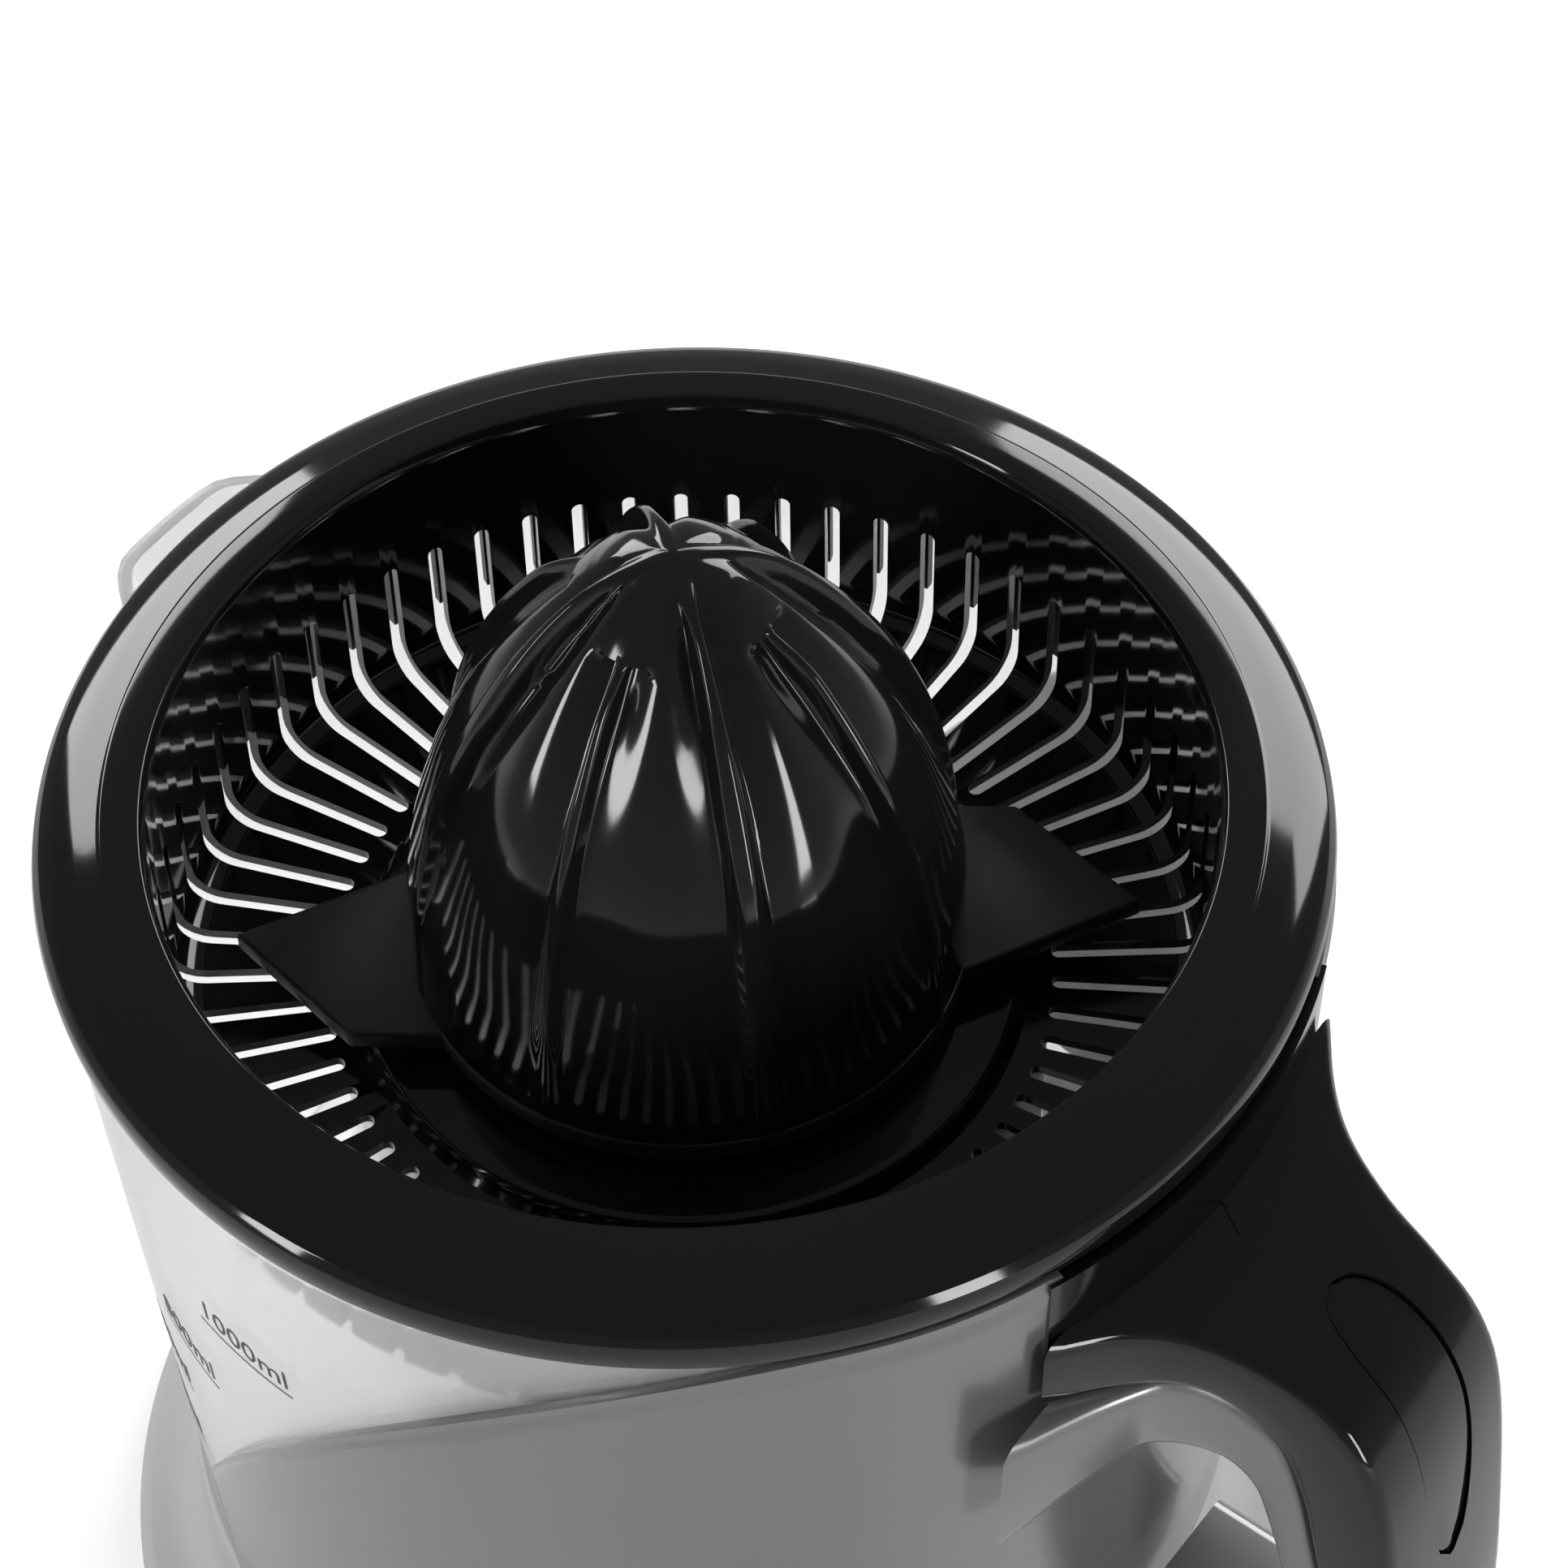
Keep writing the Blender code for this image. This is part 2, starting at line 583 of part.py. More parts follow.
def make_jug(axis):
    mesh = turned(jug_profile(), FINE)
    shape_rim(mesh)
    finish(mesh, "jug_body", "clear", axis)
    shell = finish(shell_wall(), "jug_shell", "grey", axis)
    make_handle(axis, shell)


# ---------------------------------------------------------------- strainer


def ring_profile():
    z, edge = LIP_Z, LIP_Z - RING_DROP
    return [(LIP_R, z - 1.2), (LIP_R + 0.3, z - 0.4), (LIP_R + 1.2, z), (CREASE_R, z - 0.3),
            (RING_R - 1.2, edge + 0.6), (RING_R - 0.2, edge), (RING_R, edge - 0.8),
            (RING_R, z - SKIRT_LOW), (RING_R - SKIRT_WALL, z - SKIRT_LOW),
            (RING_R - SKIRT_WALL, edge - RING_WALL + 1.4), (CREASE_R, z - 0.3 - RING_WALL),
            (LIP_R + 0.6, z - RING_WALL)][::-1]


def basket_profile():
    z, inner = LIP_Z, BASKET_R
    outer = BASKET_R + BASKET_WALL
    floor = z - BASKET_DEPTH
    flange_out = RING_R - SKIRT_WALL - 0.5
    under = floor - BASKET_WALL
    return [(inner, z - RING_WALL - 0.7), (outer, z - RING_WALL - 0.7),
            (outer, z - FLANGE_LOW + FLANGE_T), (flange_out, z - FLANGE_LOW + FLANGE_T),
            (flange_out, z - FLANGE_LOW), (outer, z - FLANGE_LOW),
            (outer, floor + CORNER - 0.8), (inner - CORNER + 0.8, under),
            (BOSS_R + 1.8, under), (BOSS_R - 0.6, under + BOSS_UP), (HUB_BORE, under + BOSS_UP),
            (HUB_BORE, HUB_TOP), (HUB_BORE + HUB_WALL, HUB_TOP),
            (HUB_BORE + HUB_WALL, floor + BOSS_UP), (BOSS_R - 1.6, floor + BOSS_UP),
            (BOSS_R, floor), (inner - CORNER, floor), (inner, floor + CORNER)]


def slot_cutter(name, axis):
    """Sixty narrow blades, each an L that opens the wall and the outer floor."""
    top = LIP_Z - SLOT_TOP
    floor = LIP_Z - BASKET_DEPTH
    outline = [(SLOT_INNER_R, floor - 4), (BASKET_R + 6, floor - 4), (BASKET_R + 6, top),
               (BASKET_R - 2, top), (BASKET_R - 2, floor + CORNER),
               (BASKET_R - CORNER - 1, floor + 2), (SLOT_INNER_R, floor + 2)]
    blades = []
    for k in range(SLOTS):
        angle = tau * (k + 0.5) / SLOTS
        out, side = Vector((cos(angle), sin(angle), 0)), Vector((-sin(angle), cos(angle), 0))
        rows = [[out * r + side * (SLOT_W / 2 * way) + Vector((0, 0, z)) for r, z in outline]
                for way in (-1, 1)]
        blades.append(loft(rows))
    return finish(join(*blades), name, "steel", axis)


def make_strainer(axis):
    finish(turned(ring_profile(), FINE), "funnel_ring", "black_gloss", axis)
    basket = finish(turned(basket_profile(), SLOTS), "strainer_basket", "black_gloss", axis)
    cut(basket, "DIFFERENCE", slot_cutter("basket_slot_cutter", axis))


def toothed_tab():
    """The curved tab below the flange, with upright teeth along its outside."""
    high, low = LIP_Z - SKIRT_LOW - GAP - 0.1, LIP_Z - TAB_DROP
    outer, inner = JUG_TOP_R - 1.0, JUG_TOP_R - 1.0 - TAB_T
    sections = []
    for k in range(TAB_TEETH + 1):
        angle = radians(TAB_HALF * (2 * k / TAB_TEETH - 1))
        edge = outer if k % 2 else outer + 0.7
        loop = [(edge, high), (edge, low), (inner, low), (inner, high)]
        sections.append([(r * cos(angle), r * sin(angle), z) for r, z in loop])
    return loft(sections)


def make_selector(parent):
    axis = pivot("selector_axis", parent=parent)
    comb_in = BASKET_R + BASKET_WALL + 0.4
    top = LIP_Z - FLANGE_LOW - GAP
    flange_out = JUG_TOP_R - 1.4
    profile = [(flange_out, top), (flange_out, top - SELECTOR_T), (comb_in + COMB_T, top - SELECTOR_T),
               (comb_in + COMB_T, LIP_Z - COMB_DEPTH + 1.6), (comb_in, LIP_Z - COMB_DEPTH + 1.6),
               (comb_in, top)]
    comb = finish(turned(profile, SLOTS), "pulp_selector", "black_matt", axis)
    tab = finish(toothed_tab(), "selector_tab_join", "black_matt", axis)
    cut(comb, "DIFFERENCE", slot_cutter("selector_slot_cutter", axis))
    cut(comb, "UNION", tab)


# ---------------------------------------------------------------- cones


def wing_outline(turn):
    """Plan of one pulp wing, pointed at its reach, rooted under the large cone."""
    points = [(31.0, 19.0), (43.0, 18.0), (WING_REACH, 1.5), (36.0, -9.0), (31.0, -10.0)]
    return [(x * cos(turn) - y * sin(turn), x * sin(turn) + y * cos(turn)) for x, y in points]


def make_inner_cone(parent):
    axis = pivot("cone_axis", parent=parent)
    flange = CONE_RIM - GAP
    profile = [(0, INNER_TIP), (5, INNER_TIP - 3), (15, 172), (22.5, 157),
               (INNER_R, 146), (INNER_R, flange), (CONE_R, flange), (CONE_R, INNER_RIM),
               (INNER_R - 2, INNER_RIM), (INNER_R - 2, 146), (20.4, 156), (13.4, 170),
               (SOCKET_R, 174), (SOCKET_R, SOCKET_LOW), (0, SOCKET_LOW)]
    cone = finish(turned(profile, 30), "inner_cone", "black_matt", axis)
    socket = finish(prism(polygon(BORE_R, 6), SOCKET_LOW - 2, SHAFT_TOP + GAP),
                    "socket_cutter", "steel", axis)
    cut(cone, "DIFFERENCE", socket)
    for k in range(2):
        wing = finish(prism(wing_outline(radians(WING_TURN) + pi * k), INNER_RIM, flange),
                      f"wing_{k + 1}_join", "black_matt", axis)
        cut(cone, "UNION", wing)
    return axis


def cone_radius(share):
    """Outside radius of the large cone, from its rim at 0 to its tip at 1."""
    return CONE_R * (1 - share**2.6) ** 0.8


def make_outer_cone(parent):
    axis = pivot("large_cone_lift", parent=parent)
    levels = [0, 0.2, 0.4, 0.58, 0.74, 0.87, 0.96]
    height = CONE_Z - CONE_RIM
    outer = [(cone_radius(s), CONE_RIM + height * s) for s in levels]
    inside = height - 5.0
    inner = [(cone_radius(s) - CONE_WALL - RIB_H, CONE_RIM + inside * s) for s in levels[:-1]]
    mesh = turned([(0, CONE_Z)] + outer[::-1] + inner + [(0, CONE_RIM + inside * 0.95)], MEDIUM)
    for vert in mesh.verts:
        x, y, z = vert.co
        r = hypot(x, y)
        share = (z - CONE_RIM) / height
        if r < 1 or r < cone_radius(min(share, 1)) - 0.5:
            continue
        turn = Vector((x, y)).angle_signed(Vector((1, 0)), 0)
        rib = RIB_H * 0.5 * (cos(turn * CONE_RIBS) - 1) * min(1, 4 * share + 0.2, r / 8)
        vert.co.x += x / r * rib
        vert.co.y += y / r * rib
    finish(mesh, "large_cone", "black_gloss", axis)


def make_cones(strainer):
    press_axis = pivot("press_axis", parent=strainer)
    finish(turned(ring(SOCKET_R + GAP, HUB_BORE + HUB_WALL - 0.2, HUB_TOP + PRESS + GAP,
                       HUB_TOP + PRESS + 4.5), 24), "seal_collar", "nylon", press_axis)
    cone = make_inner_cone(press_axis)
    make_outer_cone(cone)


def build():
    clear_scene()
    axis = pivot("drive_axis", AXIS_X)
    make_base(axis)
    make_motor(axis)
    carrier = make_gearbox(axis)
    make_shaft(carrier, axis)
    jug = pivot("jug_lift", parent=axis)
    make_jug(jug)
    strainer = pivot("strainer_lift", parent=jug)
    make_strainer(strainer)
    make_selector(strainer)
    make_cones(strainer)


build()
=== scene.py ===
# %% [markdown]
# # A citrus press
# The press is a motor base with a tower, a clear jug with a grey shell and a handle,
# a slotted strainer under a glossy funnel ring, and a fluted cone.
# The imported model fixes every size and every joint. This script builds the surfaces
# that are seen on top of it, and gives the hidden pieces their finishes.

from math import atan2, cos, degrees, hypot, pi, radians, sin, sqrt, tau

import bmesh
import bpy
import numpy as np
from mathutils import Matrix, Quaternion, Vector


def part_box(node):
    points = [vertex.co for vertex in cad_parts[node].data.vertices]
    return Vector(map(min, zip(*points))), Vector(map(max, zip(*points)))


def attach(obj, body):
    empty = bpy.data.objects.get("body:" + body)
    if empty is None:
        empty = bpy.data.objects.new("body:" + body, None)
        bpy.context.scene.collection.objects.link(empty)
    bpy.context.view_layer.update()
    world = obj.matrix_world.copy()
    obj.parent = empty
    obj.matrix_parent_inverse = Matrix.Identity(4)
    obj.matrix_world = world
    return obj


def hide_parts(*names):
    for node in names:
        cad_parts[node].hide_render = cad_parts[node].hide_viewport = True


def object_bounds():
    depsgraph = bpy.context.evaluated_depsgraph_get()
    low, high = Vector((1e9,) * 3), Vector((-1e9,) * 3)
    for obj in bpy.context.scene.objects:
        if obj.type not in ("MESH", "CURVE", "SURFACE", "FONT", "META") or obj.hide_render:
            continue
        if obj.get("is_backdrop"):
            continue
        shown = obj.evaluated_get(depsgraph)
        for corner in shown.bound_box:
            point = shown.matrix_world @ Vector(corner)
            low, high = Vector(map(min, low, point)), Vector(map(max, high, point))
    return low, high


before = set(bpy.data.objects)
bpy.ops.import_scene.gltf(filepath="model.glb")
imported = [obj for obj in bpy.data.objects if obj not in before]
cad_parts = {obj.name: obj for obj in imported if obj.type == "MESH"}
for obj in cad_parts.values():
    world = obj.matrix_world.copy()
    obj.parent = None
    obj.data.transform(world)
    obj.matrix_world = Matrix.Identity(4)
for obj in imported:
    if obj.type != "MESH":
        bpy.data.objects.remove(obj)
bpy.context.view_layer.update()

# %% [markdown]
# Shapes are drawn in millimetres round the drive axis, with the table at zero, because
# nearly every piece is round. The axis and the main heights are read from the model, so
# a new pack moves the pieces with it.

# %% Read the axis and the main heights
MM = 0.001


def edges_of(node):
    low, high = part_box(node)
    return low / MM, high / MM


shaft_low, shaft_high = edges_of("drive_shaft")
AXIS_X = (shaft_low.x + shaft_high.x) / 2
LIP = edges_of("funnel_ring")[1].z
RING_R = (edges_of("funnel_ring")[1].x - edges_of("funnel_ring")[0].x) / 2
TIP = edges_of("large_cone")[1].z
CONE_RIM = edges_of("large_cone")[0].z
WING_LOW = edges_of("inner_cone")[0].z
JUG_LOW = edges_of("jug_body")[0].z
REACH = edges_of("handle_cover")[1].x - AXIS_X
SPOUT_REACH = AXIS_X - edges_of("jug_body")[0].x
print("lip", LIP, "ring", RING_R, "tip", TIP, "reach", REACH, "spout", SPOUT_REACH)

# %% [markdown]
# The camera looks down from the front left of the handle at about 50 degrees, with a
# long lens, so that the ring reads as an even oval.

# %% Camera
LENS = 93.42
STAND = Vector((AXIS_X + 211.29, -250.22, LIP + 382.2)) * MM
AIM = Vector((AXIS_X + 10.82, 6.37, LIP)) * MM
ROLL = radians(-0.95)
camera = bpy.data.objects.new("camera", bpy.data.cameras.new("camera"))
bpy.context.scene.collection.objects.link(camera)
bpy.context.scene.camera = camera
camera.data.lens = LENS
camera.data.sensor_width = 36.0
camera.location = STAND
camera.rotation_mode = "QUATERNION"
camera.rotation_quaternion = (AIM - STAND).to_track_quat("-Z", "Y") @ Quaternion((0, 0, 1), ROLL)
print("camera distance", round((AIM - STAND).length, 3))

# %% [markdown]
# A material is a small network of nodes. To write its sums as plain Python, one class
# wraps a socket: adding or multiplying two of them adds the Math node that does it, and
# one method makes any other node.


# %% A socket that can be used in sums
class Wire:
    def __init__(self, tree, socket=None):
        self.tree, self.socket = tree, socket

    def node(self, kind, settings=None, output=0, **inputs):
        made = self.tree.nodes.new(kind)
        for name, value in (settings or {}).items():
            if name == "stops":
                ramp = made.color_ramp.elements
                ramp[0].position, ramp[0].color = value[0]
                ramp[1].position, ramp[1].color = value[1]
            else:
                setattr(made, name, value)
        for name, value in inputs.items():
            name = int(name[1:]) if name[1:].isdigit() else name.replace("_", " ")
            if isinstance(value, Wire):
                self.tree.links.new(value.socket, made.inputs[name])
            else:
                made.inputs[name].default_value = value
        return Wire(self.tree, made.outputs[output]) if made.outputs else None

    def maths(self, operation, first, second):
        return self.node("ShaderNodeMath", {"operation": operation}, s0=first, s1=second)

    def __add__(self, other):
        return self.maths("ADD", self, other)

    def __mul__(self, other):
        return self.maths("MULTIPLY", self, other)


print("sums are ready")

# %% [markdown]
# Moulded plastic, paint and metal all have the same few traits: two close tones in soft
# clouds, a roughness that wanders a little, and a fine grain in relief. One function
# makes such a finish, and its numbers tell a glossy black from a rubber foot.


# %% One recipe for moulded, painted and metal finishes
def moulded(name, tone, other_tone, rough, wander, grain, relief, metal=0.0, **fixed):
    material = bpy.data.materials.new(name)
    material.use_nodes = True
    tree = material.node_tree
    shader = tree.nodes["Principled BSDF"]
    start = Wire(tree)
    place = start.node("ShaderNodeTexCoord", output=3)
    clouds = start.node("ShaderNodeTexNoise", Vector=place, Scale=38.0, Detail=3.0)
    fine = start.node("ShaderNodeTexNoise", Vector=place, Scale=grain, Detail=4.0)
    colour = start.node(
        "ShaderNodeMix",
        {"data_type": "RGBA"},
        output=2,
        s0=clouds * 0.7 + fine * 0.3,
        s6=(*tone, 1),
        s7=(*other_tone, 1),
    )
    bump = start.node("ShaderNodeBump", Strength=1.0, Distance=relief * MM, Height=fine)
    tree.links.new(colour.socket, shader.inputs["Base Color"])
    tree.links.new((clouds * wander + (rough - wander / 2)).socket, shader.inputs["Roughness"])
    tree.links.new(bump.socket, shader.inputs["Normal"])
    shader.inputs["Metallic"].default_value = metal
    for socket, value in fixed.items():
        shader.inputs[socket.replace("_", " ")].default_value = value
    return material


# Name, two tones, roughness and how far it wanders, scale and depth of the grain, metal.
GLOSS = moulded(
    "black_gloss", (0.007, 0.007, 0.008), (0.011, 0.011, 0.012), 0.07, 0.04, 900, 0.001
)
CONE_GLOSS = moulded(
    "cone_gloss", (0.009, 0.009, 0.01), (0.014, 0.014, 0.015), 0.09, 0.03, 900, 0.001
)
MATT = moulded(
    "black_matt", (0.014, 0.014, 0.014), (0.022, 0.022, 0.021), 0.42, 0.08, 2600, 0.02
)
GREY = moulded(
    "grey_shell", (0.235, 0.235, 0.24), (0.265, 0.265, 0.27), 0.26, 0.05, 2200, 0.004, 0.35,
    Coat_Weight=0.5, Coat_Roughness=0.12,
)
SILVER = moulded(
    "silver_base", (0.58, 0.58, 0.58), (0.64, 0.64, 0.64), 0.32, 0.06, 2200, 0.006, 0.25
)
STEEL = moulded("steel", (0.5, 0.5, 0.51), (0.58, 0.58, 0.58), 0.3, 0.12, 1500, 0.01, 1.0)
COPPER = moulded("copper", (0.62, 0.27, 0.11), (0.72, 0.33, 0.15), 0.35, 0.1, 1200, 0.05, 1.0)
NYLON = moulded("nylon", (0.72, 0.7, 0.64), (0.8, 0.78, 0.72), 0.45, 0.08, 1800, 0.02)
RUBBER = moulded("rubber", (0.022, 0.022, 0.022), (0.035, 0.034, 0.033), 0.8, 0.1, 1500, 0.05)
INK = moulded("scale_ink", (0.018, 0.018, 0.02), (0.035, 0.035, 0.038), 0.45, 0.1, 2500, 0.01)
CLEAR = moulded(
    "clear_jug", (0.9, 0.91, 0.91), (0.93, 0.94, 0.94), 0.08, 0.05, 700, 0.002,
    Transmission_Weight=0.72, IOR=1.3,
)
print("finishes", len(bpy.data.materials))

# %% [markdown]
# Each piece is drawn round the drive axis in millimetres. One function turns the drawing
# into an object in metres at its place, smooth where the faces flow and sharp where they
# meet at an angle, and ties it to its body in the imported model.


# %% Turn a drawing into a piece
SAME_POINT = 0.0005
SHARP_ANGLE = 32


def mesh_of(drawing, name):
    mesh = bpy.data.meshes.new(name)
    drawing.to_mesh(mesh)
    drawing.free()
    return mesh


def mesh_in_place(drawing, name):
    """From millimetres round the axis to metres in the frame."""
    bmesh.ops.scale(drawing, vec=(MM, MM, MM), verts=drawing.verts)
    bmesh.ops.translate(drawing, vec=(AXIS_X * MM, 0, 0), verts=drawing.verts)
    return mesh_of(drawing, name)


def shown(name, mesh):
    thing = bpy.data.objects.new(name, mesh)
    bpy.context.scene.collection.objects.link(thing)
    return thing


def piece(drawing, name, body, finish, slot, *nodes, sharp=SHARP_ANGLE):
    bmesh.ops.remove_doubles(drawing, verts=drawing.verts, dist=SAME_POINT)
    bmesh.ops.recalc_face_normals(drawing, faces=drawing.faces)
    mesh = mesh_in_place(drawing, name)
    mesh.shade_smooth()
    mesh.set_sharp_from_angle(angle=radians(sharp))
    mesh.materials.append(finish)
    thing = shown(name, mesh)
    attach(thing, body)
    if nodes:
        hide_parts(*nodes)
    print(name, len(mesh.polygons), "faces")
    return thing


# %% Spin a profile round the drive axis
def turned(profile, steps=180, angle=tau, closed=True):
    drawing = bmesh.new()
    corners = [drawing.verts.new((r, 0, z)) for r, z in profile]
    pairs = list(zip(corners, corners[1:] + (corners[:1] if closed else [])))
    lines = [drawing.edges.new(pair) for pair in pairs]
    lines = [line for line in lines if max(vert.co.x for vert in line.verts) > 1e-6]
    full = angle == tau
    bmesh.ops.spin(
        drawing, geom=corners + lines, cent=(0, 0, 0), axis=(0, 0, 1),
        angle=angle, steps=steps, use_merge=full,
    )
    bmesh.ops.remove_doubles(drawing, verts=drawing.verts, dist=SAME_POINT)
    loose = [line for line in drawing.edges if not line.link_faces]
    bmesh.ops.delete(drawing, geom=loose, context="EDGES")
    bmesh.ops.recalc_face_normals(drawing, faces=drawing.faces)
    return drawing


def soften(drawing, width, steepness=28, segments=3):
    """Rounds every edge that turns more than some degrees."""
    hard = [
        line for line in drawing.edges
        if len(line.link_faces) == 2 and line.calc_face_angle() > radians(steepness)
    ]
    bmesh.ops.bevel(
        drawing, geom=hard, offset=width, affect="EDGES", segments=segments,
        profile=0.5, material=-1, clamp_overlap=True,
    )
    return drawing


def extruded(points, along):
    """One flat face through the points, given a thickness."""
    drawing = bmesh.new()
    face = drawing.faces.new([drawing.verts.new(point) for point in points])
    made = bmesh.ops.extrude_face_region(drawing, geom=[face])["geom"]
    fresh = [item for item in made if isinstance(item, bmesh.types.BMVert)]
    bmesh.ops.translate(drawing, vec=along, verts=fresh)
    return drawing


def turn(drawing, degrees_round, verts=None):
    bmesh.ops.rotate(
        drawing, cent=(0, 0, 0), matrix=Matrix.Rotation(radians(degrees_round), 3, "Z"),
        verts=verts if verts is not None else drawing.verts,
    )


def carve(thing, tool):
    """Takes the tool out of the thing, keeps the result as its mesh, and drops the tool."""
    step = thing.modifiers.new("carve", "BOOLEAN")
    step.operation, step.solver, step.object = "DIFFERENCE", "EXACT", tool
    bpy.context.view_layer.update()
    seen = thing.evaluated_get(bpy.context.evaluated_depsgraph_get())
    made = bpy.data.meshes.new_from_object(seen)
    thing.modifiers.remove(step)
    thing.data = made
    made.set_sharp_from_angle(angle=radians(SHARP_ANGLE))
    bpy.data.objects.remove(tool)
    print(thing.name, "carved to", len(made.polygons), "faces")


def ease(value):
    value = min(max(value, 0.0), 1.0)
    return value * value * (3 - 2 * value)


print("ready to turn pieces")

# %% [markdown]
# The funnel ring is one glossy moulding: a level inner band, a faint crease, and a band
# that falls away to a short skirt. Spinning its cut section gives all of it at once, and
# a small bevel on the edges catches the light as moulded edges do.

# %% Funnel ring
CREASE_R = 72.0
ring_section = [
    (66.4, LIP - 1.4), (67.2, LIP), (69.5, LIP - 0.05), (CREASE_R, LIP - 0.25),
    (CREASE_R + 0.3, LIP - 0.45), (75.2, LIP - 1.1), (78.0, LIP - 2.0), (79.8, LIP - 3.0),
    (80.7, LIP - 4.2), (81.0, LIP - 5.4),
    (80.8, LIP - 8.2), (RING_R - 1.0, LIP - 8.2), (RING_R - 1.0, LIP - 5.6), (77.0, LIP - 4.0),
    (CREASE_R, LIP - 2.5), (66.9, LIP - 2.5),
]
ring_drawing = soften(turned(ring_section, 240), 0.4, 20)
piece(ring_drawing, "ring_top", "strainer", GLOSS, "black_gloss", "funnel_ring")

# %% [markdown]
# The strainer is a bowl with a flat floor and a raised boss round the drive. Juice runs
# out through sixty narrow slots that start part way down the wall, turn the corner and
# run in along the floor. The bowl is spun, and one cutter with sixty rounded blades is
# taken out of it with a Boolean.

# %% Strainer bowl
WALL_R = 67.4
FLOOR = LIP - 37.5
UNDER = FLOOR - 1.4
FOOT_R = 4.0
BOSS_R = 43.5


def arc(r, z, radius, start, end, count=6):
    """Points on a quarter circle in the section, by angle in degrees."""
    return [
        (r + radius * cos(radians(start + (end - start) * k / count)),
         z + radius * sin(radians(start + (end - start) * k / count)))
        for k in range(count + 1)
    ]


HUB_R, HUB_TOP = 12.7, LIP - 20.5
bowl_section = (
    [(WALL_R, LIP - 2.6), (WALL_R + 1.4, LIP - 2.6), (WALL_R + 1.4, LIP - 5.2),
     (RING_R - 1.9, LIP - 5.2), (RING_R - 1.9, LIP - 7.0), (WALL_R + 1.4, LIP - 7.0)]
    + arc(WALL_R - FOOT_R, FLOOR + FOOT_R, FOOT_R + 1.4, 0, -90)
    + [(BOSS_R + 1.8, UNDER), (BOSS_R - 0.6, UNDER + 3), (HUB_R, UNDER + 3), (HUB_R, HUB_TOP),
       (HUB_R + 1.8, HUB_TOP), (HUB_R + 1.8, FLOOR + 3)]
    + arc(BOSS_R - 1.6, FLOOR + 1.4, 1.6, 90, 0, 5)
    + [(BOSS_R, FLOOR + 0.3), (BOSS_R + 0.5, FLOOR)]
    + arc(WALL_R - FOOT_R, FLOOR + FOOT_R, FOOT_R, -90, 0)
)
bowl = piece(
    turned(bowl_section, 240), "strainer_bowl", "strainer", GLOSS, "black_gloss", "strainer_basket"
)

# %% Slot cutter
SLOTS = 60
SLOT_W = 2.1
SLOT_IN, SLOT_OUT = 47, WALL_R + 6
SLOT_LOW, SLOT_TOP = FLOOR - 5, LIP - 19
LEVEL = 0.01


def slot_blade():
    """One L, drawn on edge in the plane of the axis, given a width and rounded ends."""
    outline = [
        (SLOT_IN, SLOT_LOW), (SLOT_IN, FLOOR + 2.2), (WALL_R - 5.0, FLOOR + 2.2),
        (WALL_R - 2.2, FLOOR + 5.0), (WALL_R - 2.2, SLOT_TOP), (SLOT_OUT, SLOT_TOP),
        (SLOT_OUT, SLOT_LOW),
    ]
    blade = extruded([(r, -SLOT_W / 2, z) for r, z in outline], (0, SLOT_W, 0))
    ends = [
        line for line in blade.edges
        if abs(line.verts[0].co.y - line.verts[1].co.y) < LEVEL
        and (all(abs(vert.co.z - SLOT_TOP) < LEVEL for vert in line.verts)
             or all(abs(vert.co.x - SLOT_IN) < LEVEL for vert in line.verts))
    ]
    bmesh.ops.bevel(
        blade, geom=ends, offset=SLOT_W / 2 - LEVEL, affect="EDGES", segments=6,
        profile=0.5, material=-1, clamp_overlap=False,
    )
    bmesh.ops.recalc_face_normals(blade, faces=blade.faces)
    return blade


blade_mesh = mesh_of(slot_blade(), "slot_blade")
comb = bmesh.new()
for k in range(SLOTS):
    before = len(comb.verts)
    comb.from_mesh(blade_mesh)
    comb.verts.ensure_lookup_table()
    turn(comb, 360 * (k + 0.5) / SLOTS, comb.verts[before:])
carve(bowl, shown("slot_comb", mesh_in_place(comb, "slot_comb")))

# %% [markdown]
# The large cone is what the fruit is pressed on. Eight ribs climb it: four broad ones that
# meet at the tip, and a thin one between each two. Between them the panels sink in, most
# near the tip and hardly at the rim. It is spun as a smooth dome first, and each
# point is then moved in by how far it is from the nearest rib.

# %% Outline of the large cone
CONE_R = 36.2
dome = [(0, TIP), (4, TIP - 0.7), (8, TIP - 1.8), (12, TIP - 4.0), (16.5, TIP - 8.2),
        (20.5, TIP - 13.2), (25, TIP - 20), (29, TIP - 27.5), (32.2, TIP - 36), (34.6, TIP - 46),
        (35.7, TIP - 55), (CONE_R, CONE_RIM)]
dome_r, dome_z = [p[0] for p in dome], [p[1] for p in dome]
count = 72
run = np.linspace(0, len(dome) - 1, count)
smooth_r = np.interp(run, range(len(dome)), dome_r)
smooth_z = np.interp(run, range(len(dome)), dome_z)
for _ in range(6):
    smooth_r[1:-1] = (smooth_r[:-2] + 2 * smooth_r[1:-1] + smooth_r[2:]) / 4
    smooth_z[1:-1] = (smooth_z[:-2] + 2 * smooth_z[1:-1] + smooth_z[2:]) / 4
outside = list(zip(smooth_r.tolist(), smooth_z.tolist()))
inside = [
    (32.4, CONE_RIM), (32.0, TIP - 52), (26.0, TIP - 30), (19, TIP - 19), (8, TIP - 12),
    (0, TIP - 11),
]
cone_drawing = turned(outside + inside, 360)
print("rows on the cone", len(outside))

